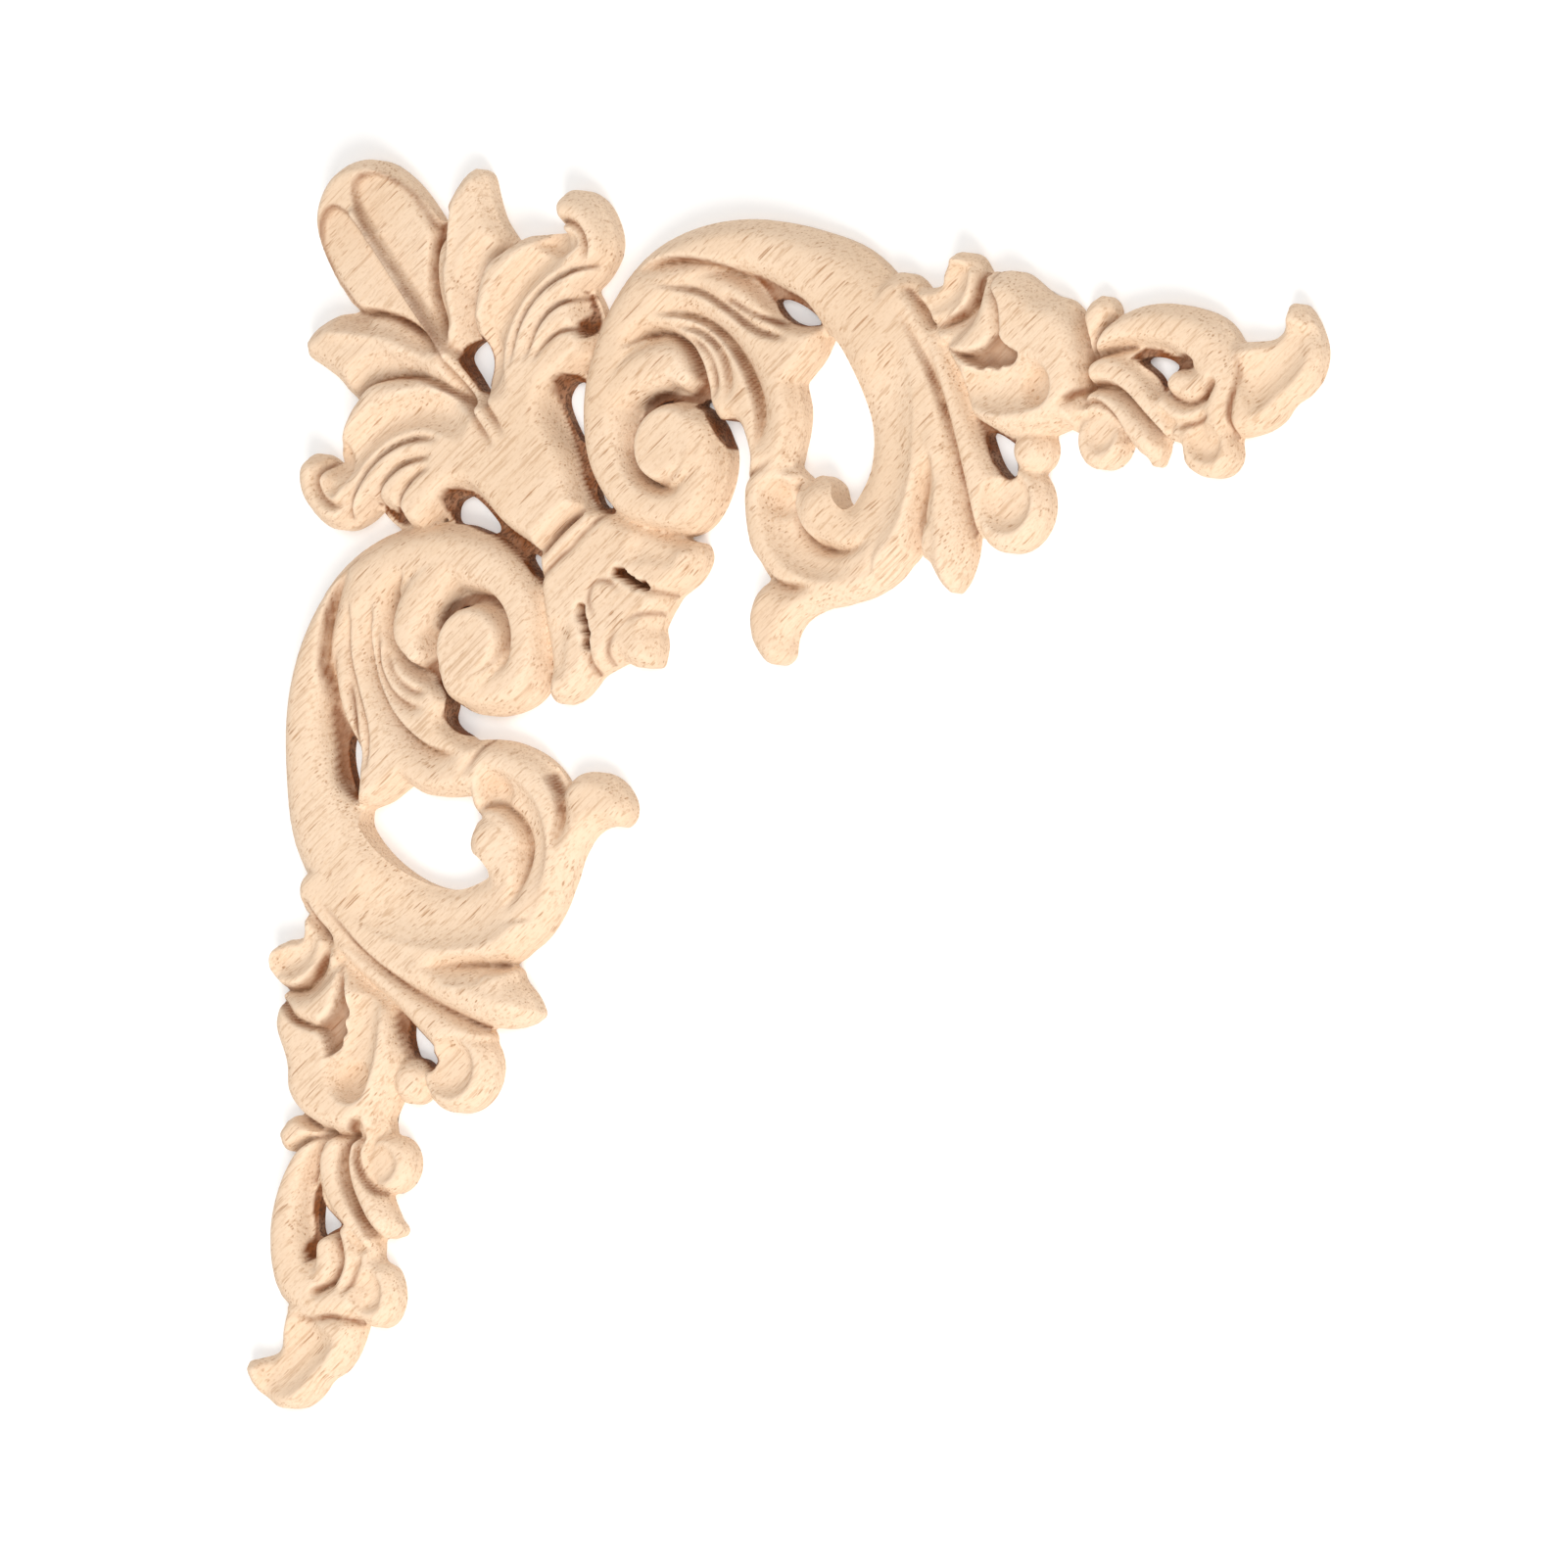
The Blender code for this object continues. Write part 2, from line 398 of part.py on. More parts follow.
def palmette(board):
    # trunk and the leaf that curls at its tip
    mass(board, outline([(-11.5, -2.5), (-7.0, -0.4), (-2.3, 2.5)], [(-2.3, 2.5), (2.5, -2.3)],
                        [(2.5, -2.3), (0.4, -7.0), (-1.6, -9.6), (-2.7, -11.6), (-2.2, -13.4),
                         (-0.4, -14.8), (1.5, -16.4), (1.3, -18.5)], [(1.3, -18.5), (-0.2, -20.8),
                        (-0.4, -22.8)], [(-0.4, -22.8), (1.0, -24.2), (2.1, -26.4), (1.9, -28.6),
                                         (0.3, -31.0), (-1.8, -32.2), (-3.8, -32.2), (-4.9, -31.0),
                                         (-4.7, -29.6), (-3.9, -28.2)], [(-3.9, -28.2), (-6.0, -27.8),
                        (-8.0, -27.5), (-9.9, -26.7)], [(-9.9, -26.7), (-12.8, -24.0), (-13.2, -17.0),
                        (-12.0, -13.0), (-13.0, -6.0)]), TRUNK, 2.2)
    # side leaf
    mass(board, outline([(-18.9, -27.8), (-18.2, -30.2), (-16.8, -32.5), (-15.4, -33.6)], [(-15.4, -33.6),
                        (-14.1, -33.0), (-13.2, -31.0), (-12.0, -28.8), (-9.9, -26.7)], [(-9.9, -26.7),
                        (-11.4, -22.0), (-11.0, -16.0), (-13.0, -12.0), (-16.0, -15.6), (-18.4, -20.0),
                        (-18.9, -27.8)]), LEAF, 2.4)
    # middle lobe on the mirror line, with two sunk panels and a rib between them
    mass(board, outline([(-10.0, -6.0), (-6.0, -10.0), (-12.0, -20.0), (-18.8, -27.8), (-23.4, -31.9),
                         (-27.8, -33.5), (-31.9, -31.9), (-33.5, -27.8), (-31.9, -23.4), (-27.8, -18.8),
                         (-20.0, -12.0)]), SHELL, 1.6)
    panel = [(-18.7, -27.0), (-22.0, -30.3), (-25.4, -32.0), (-27.6, -31.9), (-28.6, -30.8),
             (-28.2, -29.3), (-26.8, -27.3), (-24.4, -24.8), (-20.0, -20.4), (-15.4, -15.8),
             (-17.6, -20.4), (-18.6, -23.6)]
    bowl(board, outline(panel), 0.9, 0.3)
    bowl(board, outline(mirrored(panel)), 0.9, 0.3)
    crease(board, panel + panel[:1], 0.4, 0.2, (0.0, 0.0))
    rib(board, [(-24.9, -26.9), (-25.9, -25.9), (-26.9, -24.9)], 0.5, 0.4)
    cut(board, [(-7.6, -7.6), (-28.0, -28.0)], 0.6, -0.45, lambda t: 1 - t ** 4, (0.1, 0.0))
    crease(board, [(-7.0, -8.2), (-11.0, -12.2), (-15.6, -16.6)], 0.7, 0.9, (0.2, 0.1))
    # creases and flutes of the leaves
    stop_cut(board, [(-18.8, -28.0), (-18.9, -24.0), (-18.0, -20.4), (-15.4, -16.4)], 2.0, 1.3, -1,
             (0.0, 0.2))
    flute(board, [(-18.2, -29.6), (-18.0, -26.0), (-17.4, -21.6), (-15.6, -17.6)], 1.5, 0.9, (0.1, 0.2))
    rib(board, [(-16.4, -31.6), (-16.6, -26.0), (-16.4, -22.0), (-14.8, -18.0)], 0.9, 0.4)
    stop_cut(board, [(-9.8, -26.9), (-12.0, -24.4), (-12.9, -21.0), (-12.8, -17.4), (-11.4, -13.4),
                     (-9.8, -11.0)], 2.6, 1.8, 1, (0.0, 0.15))
    flute(board, [(-12.4, -27.2), (-13.8, -24.0), (-14.2, -20.6), (-13.4, -17.6)], 1.2, 0.6)
    flute(board, [(-8.8, -11.4), (-9.9, -15.0), (-9.8, -18.4), (-8.2, -22.2), (-5.4, -25.2),
                  (-2.2, -27.0)], 2.0, 1.7, (0.25, 0.15))
    stop_cut(board, [(-7.2, -14.6), (-7.0, -18.0), (-5.8, -20.8), (-3.9, -22.9), (-1.4, -24.4),
                     (0.8, -25.2)], 1.7, 1.3, -1, (0.3, 0.0))
    stop_cut(board, [(-5.6, -15.4), (-4.7, -18.6), (-3.2, -20.6), (-1.2, -21.8), (0.4, -22.4)], 1.5, 1.3,
             -1, (0.3, 0.0))
    stop_cut(board, [(-4.6, -15.4), (-3.6, -17.2), (-1.8, -18.6), (0.4, -19.2)], 1.3, 0.9, -1, (0.4, 0.0))
    bowl(board, outline([(-6.4, -26.6), (-4.4, -28.2), (-1.6, -28.4), (-0.8, -26.8), (-3.2, -25.6)]), 1.3,
         1.0)
    crease(board, [(-4.4, -28.6), (-2.6, -29.3), (-0.9, -28.5), (0.0, -26.8), (-0.6, -25.2)], 0.9, 1.4,
           (0.0, 0.3))
    pit(board, outline([(-0.8, -22.8), (0.2, -22.0), (1.2, -20.2), (0.8, -18.3), (-0.2, -18.6),
                        (-0.6, -19.6), (-0.2, -20.8)]), 1.0, 0.5)


def husk(board):
    mass(board, outline([(2.5, -2.4), (5.5, -2.2), (9.0, -1.2), (14.3, 0.0), (16.0, 0.2), (16.7, 1.6),
                         (15.8, 3.6), (13.6, 5.4)], [(13.6, 5.4), (12.5, 7.4), (12.0, 8.6)], [(12.0, 8.6),
                        (12.5, 10.2), (12.3, 12.3)], [(12.3, 12.3), (10.2, 12.5), (8.6, 12.0)],
                        [(8.6, 12.0), (7.4, 12.5), (5.4, 13.6)], [(5.4, 13.6), (3.6, 15.8), (1.6, 16.7),
                        (0.2, 16.0), (0.0, 14.3), (-1.2, 9.0), (-2.2, 5.5), (-2.4, 2.5)]), LEAF, 2.0)
    rib(board, [(2.6, -2.4), (0.8, -0.4), (-0.4, 0.8), (-2.4, 2.6)], 2.2, TRUNK - LEAF, (0.0, 0.0))
    stop_cut(board, [(2.6, -2.0), (0.8, -0.6), (-0.6, 0.8), (-2.0, 2.6)], 2.2, 0.9, -1, (0.05, 0.05))
    crease(board, [(5.4, -2.0), (3.0, 0.4), (1.8, 1.8)], 0.9, 0.5, (0.2, 0.0))
    flute(board, [(8.4, 1.2), (11.4, 0.9), (14.6, 1.2)], 1.8, 0.6)
    crease(board, [(11.2, 5.0), (12.4, 5.2), (13.7, 5.4)], 1.0, 1.0, (0.2, 0.0))
    crease(board, [(8.8, 8.4), (10.4, 7.6), (12.4, 7.2)], 1.0, 0.7, (0.5, 0.0))
    flute(board, [(4.6, 6.0), (6.4, 7.6), (7.6, 9.6)], 1.3, 0.35)
    # slot between two lobes
    slot = [(7.0, 3.4), (7.8, 3.2), (8.5, 3.5), (8.9, 3.9), (9.5, 4.0), (10.0, 4.4), (10.8, 4.3),
            (11.4, 4.8), (11.1, 5.1), (10.3, 4.9), (9.8, 5.0), (9.3, 4.6), (8.7, 4.5), (8.1, 4.1),
            (7.1, 3.9)]
    pit(board, outline(slot), 0.9, 0.25)
    crease(board, [(3.0, 7.6), (4.4, 5.4), (6.4, 4.6), (8.4, 5.6)], 0.7, 0.4)


def openings(board):
    # round the eye of the volute
    pit(board, outline([(8.8, -5.8), (7.4, -7.0), (6.8, -9.0), (7.0, -11.2), (8.2, -13.0), (10.2, -14.0),
                        (12.2, -13.9), (13.5, -14.2), (14.6, -15.1), (15.6, -14.2)], [(15.6, -14.2),
                       (16.5, -12.7), (17.6, -11.6)], [(17.6, -11.6), (16.4, -11.8), (14.8, -12.8),
                       (12.6, -13.0), (10.4, -12.8), (8.8, -11.5), (8.0, -9.8), (8.0, -8.0),
                       (8.8, -5.8)]), 1.0, 0.5)
    opening(board, outline([(8.4, -10.4), (8.2, -11.4), (9.2, -12.7), (10.8, -13.2), (12.0, -13.1),
                            (11.0, -12.8), (9.6, -12.1), (8.9, -11.2)]))
    opening(board, outline([(13.8, -12.9), (14.8, -13.6), (15.6, -13.5)], [(15.6, -13.5), (16.6, -12.3),
                           (17.6, -11.7), (19.3, -11.8), (20.4, -10.0), (19.4, -9.0), (18.2, -9.2),
                           (16.8, -11.2), (15.2, -12.5), (13.8, -12.9)]))
    # slot between the band and the acanthus
    pit(board, outline([(18.4, -26.0), (20.2, -25.8), (23.0, -24.9), (26.2, -23.8), (28.3, -21.6)],
                       [(28.3, -21.6), (26.6, -21.3), (23.8, -21.7), (21.6, -23.0), (20.4, -24.0),
                        (18.4, -26.0)]), 1.0, 0.6)
    opening(board, outline([(21.3, -23.7), (23.4, -23.7), (25.6, -23.0), (27.8, -21.7)], [(27.8, -21.7),
                           (25.8, -21.4), (23.7, -21.7), (22.3, -22.6), (21.3, -23.7)]))
    # inside the scroll
    opening(board, outline([(28.5, -20.7), (30.4, -20.3), (33.0, -17.2), (34.9, -13.0), (35.4, -8.8),
                            (34.5, -5.8), (33.4, -4.1)], [(33.4, -4.1), (32.2, -5.2), (31.4, -6.7),
                           (29.2, -7.5), (28.0, -6.8)], [(28.0, -6.8), (26.1, -8.0)], [(26.1, -8.0),
                           (26.7, -11.0), (26.5, -14.0), (25.6, -15.9)], [(25.6, -15.9), (27.5, -18.3),
                           (28.5, -20.7)]))
    # beside the calyx
    pit(board, outline([(46.9, -14.4), (49.2, -13.7), (52.1, -12.5)], [(52.1, -12.5), (52.2, -10.8),
                       (53.1, -9.2), (51.8, -8.3)], [(51.8, -8.3), (49.8, -9.8), (46.9, -14.4)]), 1.0,
        0.5)
    opening(board, outline([(48.1, -13.0), (50.0, -12.8), (51.7, -12.0)], [(51.7, -12.0), (51.8, -10.8),
                           (52.6, -9.2), (51.7, -8.6)], [(51.7, -8.6), (49.9, -10.0), (48.1, -13.0)]))
    # between the end leaves
    pit(board, outline([(64.4, -21.0), (65.4, -22.3), (67.2, -22.4), (69.2, -21.9), (71.2, -22.1),
                        (72.6, -21.4)], [(72.6, -21.4), (71.6, -20.6), (70.4, -20.2), (69.6, -19.2),
                                         (68.5, -17.9)], [(68.5, -17.9), (67.4, -19.5), (66.2, -20.6),
                       (64.4, -21.0)]), 1.0, 0.5)
    opening(board, outline([(65.3, -21.0), (66.2, -21.5), (68.6, -21.4), (70.0, -20.8)], [(70.0, -20.8),
                           (69.1, -19.6), (68.5, -18.4)], [(68.5, -18.4), (67.4, -19.8), (65.3, -21.0)]))
    # between the trunk and the volute, in two parts
    pit(board, outline([(0.4, -13.8), (-0.2, -14.6), (-1.4, -14.9), (-2.6, -14.3), (-3.0, -12.9),
                        (-2.5, -11.2), (-1.2, -9.2), (0.3, -6.8), (1.3, -4.6), (2.5, -2.7), (4.0, -1.9),
                        (5.6, -1.7), (5.5, -2.5), (3.9, -4.3), (2.4, -6.6), (1.3, -9.0), (0.7, -11.4)]),
        1.0, 0.5)
    opening(board, outline([(-2.3, -12.4), (-1.6, -13.9), (-0.4, -14.1), (0.4, -13.6), (0.5, -12.0),
                            (0.9, -10.2), (1.2, -8.7), (0.3, -8.4), (-1.5, -10.6)]))
    opening(board, outline([(2.6, -4.7), (3.3, -4.5), (4.6, -3.2), (5.0, -2.4), (4.0, -2.3), (3.2, -2.8),
                            (2.7, -3.7)]))


def slot_on_one_side(board):
    """The hole beside the rib, which only one half of the palmette has."""
    bowl(board, oval(-12.2, -14.9, 3.6, 1.3, 80), 1.6, 3.2)
    pit(board, outline([(-14.7, -15.8), (-12.3, -17.8), (-10.9, -15.4), (-11.1, -11.9), (-13.3, -13.7)]),
        1.2, 0.4)
    opening(board, outline([(-14.5, -15.7), (-12.3, -17.5), (-11.1, -15.4), (-11.3, -12.2),
                            (-13.2, -13.8)]))


def softened(field):
    """The field averaged over its neighbours, a few times over."""
    for _ in range(SOFTENING_PASSES):
        for axis in (0, 1):
            field = (2 * field + np.roll(field, 1, axis) + np.roll(field, -1, axis)) / 4
    return field


def soften(board):
    """Round the outline's corners and the carving a little, without drawing the edge down."""
    board.inside = softened(np.maximum(board.inside, -1.0))
    wood = (board.inside > 0).astype(float)
    weight = softened(wood)
    board.surface = np.where(weight > 0, softened(board.surface * wood) / np.maximum(weight, 1e-9), EDGE)


def carve():
    """The whole relief: both arms from one drawing, then what only one side has."""
    board = Board()
    for element in (scroll_and_volute, acanthus, eye_groove, lower_curl, pointed_leaves, curl_leaves,
                    calyx, end_leaves, claw, palmette, husk, openings):
        element(board)
    other_arm = U < V
    board.surface[other_arm] = board.surface.T[other_arm]
    board.inside[other_arm] = board.inside.T[other_arm]
    slot_on_one_side(board)
    board.surface = np.maximum(board.surface, LEAST_WOOD)
    soften(board)
    return board


# From the relief to a solid

CELL_TURNS = {1: ("BL",), 2: ("RB",), 3: ("RL",), 4: ("TR",), 5: ("BL", "TR"), 6: ("TB",), 7: ("TL",),
              8: ("LT",), 9: ("BT",), 10: ("RB", "LT"), 11: ("RT",), 12: ("LR",), 13: ("BR",), 14: ("LB",)}


def outline_loops(inside):
    """Closed loops of (U, V) where the outline crosses the grid lines."""
    wood = (inside > 0).astype(int)
    code = wood[:-1, :-1] + 2 * wood[1:, :-1] + 4 * wood[1:, 1:] + 8 * wood[:-1, 1:]
    follows = {}
    for i, j in np.argwhere((code > 0) & (code < 15)):
        side = {"B": (0, i, j), "T": (0, i, j + 1), "L": (1, i, j), "R": (1, i + 1, j)}
        for start, end in CELL_TURNS[code[i, j]]:
            follows[side[start]] = side[end]
    loops = []
    while follows:
        start, here = follows.popitem()
        chain = [start]
        while here != start:
            chain.append(here)
            here = follows.pop(here)
        loops.append(np.array([crossing(inside, *key) for key in chain]))
    return loops


def crossing(inside, direction, i, j):
    """Where the outline crosses one grid line between two grid points."""
    a = inside[i, j]
    b = inside[i + 1, j] if direction == 0 else inside[i, j + 1]
    t = a / (a - b)
    along_u = t * BOARD_STEP if direction == 0 else 0
    along_v = t * BOARD_STEP if direction == 1 else 0
    return (AXIS[i] + along_u, AXIS[j] + along_v)


def area(loop):
    """Signed area of a closed loop."""
    u, v = loop.T
    return 0.5 * np.sum(u * np.roll(v, -1) - v * np.roll(u, -1))


def thinned(loop, tolerance):
    """The loop with only the points that its shape needs."""
    far = int(np.argmax(np.hypot(*(loop - loop[0]).T)))
    ring = np.vstack([loop, loop[:1]])
    keep = {0, far, len(loop)}
    spans = [(0, far), (far, len(loop))]
    while spans:
        a, b = spans.pop()
        if b - a < 2:
            continue
        chord = ring[b] - ring[a]
        offset = ring[a + 1:b] - ring[a]
        miss = np.abs(chord[0] * offset[:, 1] - chord[1] * offset[:, 0]) / max(np.hypot(*chord), 1e-9)
        worst = int(np.argmax(miss))
        if miss[worst] > tolerance:
            middle = a + 1 + worst
            keep.add(middle)
            spans += [(a, middle), (middle, b)]
    return ring[sorted(keep)[:-1]]


def height_at(surface, points):
    """Surface height at points between the grid points."""
    place = (points - BOARD_LOW) / BOARD_STEP
    cell = np.floor(place).astype(int)
    tu, tv = (place - cell).T
    i, j = cell.T
    low = surface[i, j] * (1 - tu) + surface[i + 1, j] * tu
    high = surface[i, j + 1] * (1 - tu) + surface[i + 1, j + 1] * tu
    return low * (1 - tv) + high * tv


def triangulated(points, edges, loops):
    """Triangles over the points that lie within the loops, as rows of three indices."""
    result = delaunay_2d_cdt([Vector(p) for p in points], edges, [], 0, 1e-7)
    triangles = np.array(result[2])
    centres = points[triangles].mean(1)
    covered = np.zeros(len(triangles), bool)
    for loop in loops:
        covered ^= contains(loop, centres[:, 0], centres[:, 1])
    return triangles[covered]


def misses(surface, points, heights, triangles):
    """For each triangle, the grid point where the surface leaves it furthest, and by how much."""
    worst = []
    for triangle in triangles:
        (u0, v0), (u1, v1), (u2, v2) = points[triangle]
        turn = (u1 - u0) * (v2 - v0) - (u2 - u0) * (v1 - v0)
        i0 = int(np.ceil((min(u0, u1, u2) - BOARD_LOW) / BOARD_STEP))
        i1 = int((max(u0, u1, u2) - BOARD_LOW) / BOARD_STEP) + 1
        j0 = int(np.ceil((min(v0, v1, v2) - BOARD_LOW) / BOARD_STEP))
        j1 = int((max(v0, v1, v2) - BOARD_LOW) / BOARD_STEP) + 1
        if turn == 0 or i1 <= i0 or j1 <= j0:
            continue
        u, v = U[i0:i1, j0:j1], V[i0:i1, j0:j1]
        s = ((u - u0) * (v2 - v0) - (u2 - u0) * (v - v0)) / turn
        t = ((u1 - u0) * (v - v0) - (u - u0) * (v1 - v0)) / turn
        z0, z1, z2 = heights[triangle]
        miss = np.abs(z0 + s * (z1 - z0) + t * (z2 - z0) - surface[i0:i1, j0:j1])
        miss[(s < 0) | (t < 0) | (s + t > 1)] = 0
        at = np.unravel_index(np.argmax(miss), miss.shape)
        if miss[at] > FACE_TOLERANCE:
            worst.append((miss[at], i0 + at[0], j0 + at[1]))
    return sorted(worst, reverse=True)


def carved_face(board, loops, edges, rim, back_count):
    """Points, heights and triangles of the face, refined where the facets miss the carving most."""
    chosen = np.zeros(U.shape, bool)
    chosen[::FIRST_SPACING, ::FIRST_SPACING] = True
    clear_of_rim = board.inside > BOARD_STEP
    for _ in range(REFINING_ROUNDS):
        i, j = np.nonzero(chosen & clear_of_rim)
        points = np.vstack([rim, np.stack([AXIS[i], AXIS[j]], 1)])
        heights = height_at(board.surface, points)
        triangles = triangulated(points, edges, loops)
        room = (MOST_FACETS - back_count - 2 * len(rim) - len(triangles)) // 2
        worst = misses(board.surface, points, heights, triangles)[:max(room, 0)]
        if not worst:
            break
        for _, i, j in worst:
            chosen[i, j] = True
    return points, heights, triangles


def solid(board):
    """Closed mesh: carved face, upright sawn edge and flat back."""
    loops = [loop for loop in outline_loops(board.inside) if abs(area(loop)) > LEAST_LOOP]
    loops = [thinned(loop, OUTLINE_TOLERANCE) for loop in loops]
    rim = np.vstack(loops)
    edges = []
    start = 0
    for loop in loops:
        edges += [(start + k, start + (k + 1) % len(loop)) for k in range(len(loop))]
        start += len(loop)
    back = triangulated(rim, edges, loops)
    points, heights, face = carved_face(board, loops, edges, rim, len(back))
    bm = bmesh.new()
    raised = np.column_stack([points[:, 0], -points[:, 1], heights]) * MILLIMETRE
    top = [bm.verts.new(place) for place in raised]
    bottom = [bm.verts.new((place[0], place[1], 0.0)) for place in raised[:len(rim)]]
    for triangle in face:
        bm.faces.new([top[k] for k in triangle])
    for triangle in back:
        bm.faces.new([bottom[k] for k in triangle])
    for a, b in edges:
        bm.faces.new([top[a], bottom[a], bottom[b]])
        bm.faces.new([top[a], bottom[b], top[b]])
    bmesh.ops.delete(bm, geom=[v for v in bm.verts if not v.link_faces], context="VERTS")
    bmesh.ops.recalc_face_normals(bm, faces=bm.faces)
    return bm


def wood():
    material = bpy.data.materials.new("pale_wood")
    material.use_nodes = True
    principled = material.node_tree.nodes["Principled BSDF"]
    principled.inputs["Base Color"].default_value = WOOD_COLOUR
    principled.inputs["Roughness"].default_value = WOOD_ROUGHNESS
    principled.inputs["Metallic"].default_value = 0.0
    return material


def build():
    for old in list(bpy.data.objects):
        bpy.data.objects.remove(old, do_unlink=True)
    bm = solid(carve())
    mesh = bpy.data.meshes.new("corner_onlay")
    bm.to_mesh(mesh)
    bm.free()
    mesh.shade_smooth()
    mesh.set_sharp_from_angle(angle=SHARP_ANGLE)
    mesh.materials.append(wood())
    onlay = bpy.data.objects.new("corner_onlay", mesh)
    bpy.context.scene.collection.objects.link(onlay)


build()
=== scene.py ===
"""Dressed model of a corner onlay of carved wood, on a pale studio floor."""

import bpy
import numpy as np
from mathutils import Matrix, Vector
from mathutils.geometry import delaunay_2d_cdt


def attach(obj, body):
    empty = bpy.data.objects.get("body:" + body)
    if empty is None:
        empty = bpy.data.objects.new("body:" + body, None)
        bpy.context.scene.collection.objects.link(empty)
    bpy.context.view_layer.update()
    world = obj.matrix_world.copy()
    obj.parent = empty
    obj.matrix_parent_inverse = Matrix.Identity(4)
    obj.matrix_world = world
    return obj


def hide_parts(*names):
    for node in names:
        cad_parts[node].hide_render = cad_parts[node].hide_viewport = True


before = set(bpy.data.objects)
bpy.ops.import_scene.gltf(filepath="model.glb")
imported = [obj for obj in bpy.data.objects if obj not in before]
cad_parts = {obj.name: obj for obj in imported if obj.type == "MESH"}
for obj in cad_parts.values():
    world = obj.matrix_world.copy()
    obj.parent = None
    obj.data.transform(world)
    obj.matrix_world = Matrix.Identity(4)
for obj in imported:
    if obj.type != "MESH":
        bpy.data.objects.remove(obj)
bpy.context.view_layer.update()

# The board
#
# The onlay is cut from one thin board of pale, close-grained hardwood, and its face is carved with round and
# V-shaped cutters. Its pattern is drawn once, in millimetres, for the arm that runs along X: U is X and V is
# minus Y. The fields hold the height of the face, the distance to the outline, scorched wood and painted
# crease shade.

MILLIMETRE = 0.001
BOARD_LOW = -35.4
BOARD_HIGH = 88.2
CUTTER_STEP = 0.125     # distance between the passes of the finishing cutter

axis = np.arange(BOARD_LOW, BOARD_HIGH + CUTTER_STEP / 2, CUTTER_STEP)
U, V = np.meshgrid(axis, axis, indexing="ij")
surface = np.zeros(U.shape)
inside = np.full(U.shape, -9.0)
burnt = np.zeros(U.shape)
crease_shade = np.zeros(U.shape)

# Volute and scroll band
#
# A rounded band winds out of the eye, sweeps over the top of the arm and turns back into the lower curl. The
# eye is a flat disc that runs into the band on one side, and a lip of the band curls towards it.

SAWN_EDGE = 1.2         # height of the edge all round
CROWN_OF_EYE = 4.2      # crown heights of the carving
CROWN_OF_TRUNK = 4.0
CROWN_OF_BAND = 3.8
CROWN_OF_SHELL = 3.6
CROWN_OF_LEAF = 3.3


def smooth(points, closed=False, pieces=6):
    """Curve through the points; further columns, such as a width, are carried along."""
    p = np.array(points, float)
    if closed:
        a, b, c, d = np.roll(p, 1, 0), p, np.roll(p, -1, 0), np.roll(p, -2, 0)
    else:
        q = np.vstack([2 * p[0] - p[1], p, 2 * p[-1] - p[-2]])
        a, b, c, d = q[:-3], q[1:-2], q[2:-1], q[3:]
    a, b, c, d = (x[:, None, :] for x in (a, b, c, d))
    t = (np.arange(pieces) / pieces)[None, :, None]
    curve = 2 * b + (c - a) * t + (2 * a - 5 * b + 4 * c - d) * t ** 2 + (3 * b - a - 3 * c + d) * t ** 3
    curve = curve.reshape(-1, p.shape[1]) / 2
    return curve if closed else np.vstack([curve, p[-1]])


def oval(u, v, radius, stretch=1.0, turn=0.0):
    """Round outline, or one stretched along a line turned by so many degrees."""
    a = np.linspace(0, 2 * np.pi, 48, endpoint=False)
    x, y = radius * stretch * np.cos(a), radius * np.sin(a)
    c, s = np.cos(np.radians(turn)), np.sin(np.radians(turn))
    return np.stack([u + c * x - s * y, v + s * x + c * y], 1)


def window(path, reach):
    """The part of the board within reach of a path."""
    low = np.floor((path[:, :2].min(0) - reach - BOARD_LOW) / CUTTER_STEP).astype(int)
    high = np.ceil((path[:, :2].max(0) + reach - BOARD_LOW) / CUTTER_STEP).astype(int) + 1
    low = np.maximum(low, 0)
    return slice(low[0], high[0]), slice(low[1], high[1])


def nearest(path, box, closed=False):
    """Distance from each place to a path, the side it lies on, and the path's columns there."""
    rows = np.vstack([path, path[:1]]) if closed else path
    run = np.concatenate([[0], np.cumsum(np.hypot(*np.diff(rows[:, :2], axis=0).T))])
    rows = np.column_stack([rows, run / run[-1]])
    best = np.full(U[box].shape, np.inf)
    side = np.zeros(best.shape)
    columns = np.zeros(best.shape + (rows.shape[1] - 2,))
    for a, b in zip(rows[:-1], rows[1:]):
        du, dv = b[:2] - a[:2]
        span = du * du + dv * dv
        if span == 0:
            continue
        t = np.clip(((U[box] - a[0]) * du + (V[box] - a[1]) * dv) / span, 0, 1)
        eu = U[box] - a[0] - t * du
        ev = V[box] - a[1] - t * dv
        away = eu * eu + ev * ev
        near = away < best
        best[near] = away[near]
        side[near] = np.sign(du * ev - dv * eu)[near]
        columns[near] = (a[2:] + t[..., None] * (b[2:] - a[2:]))[near]
    return np.sqrt(best), side, columns


def contains(path, u, v):
    """Whether places lie inside a closed outline."""
    result = np.zeros(u.shape, bool)
    for a, b in zip(path, np.roll(path, -1, 0)):
        if a[1] != b[1]:
            crosses = (a[1] > v) != (b[1] > v)
            result ^= crosses & (u < a[0] + (v - a[1]) * (b[0] - a[0]) / (b[1] - a[1]))
    return result


def depth_in(path, box):
    """Distance to a closed outline, positive inside it."""
    distance = nearest(path, box, closed=True)[0]
    return np.where(contains(path, U[box], V[box]), distance, -distance)


def stand(box, depth, height):
    """Leave wood standing up to a height, where the depth is positive."""
    crease_shade[box] = np.where((depth > 0) & (height > surface[box]), 0, crease_shade[box])
    surface[box] = np.where(depth > 0, np.maximum(surface[box], height), surface[box])
    inside[box] = np.maximum(inside[box], depth)


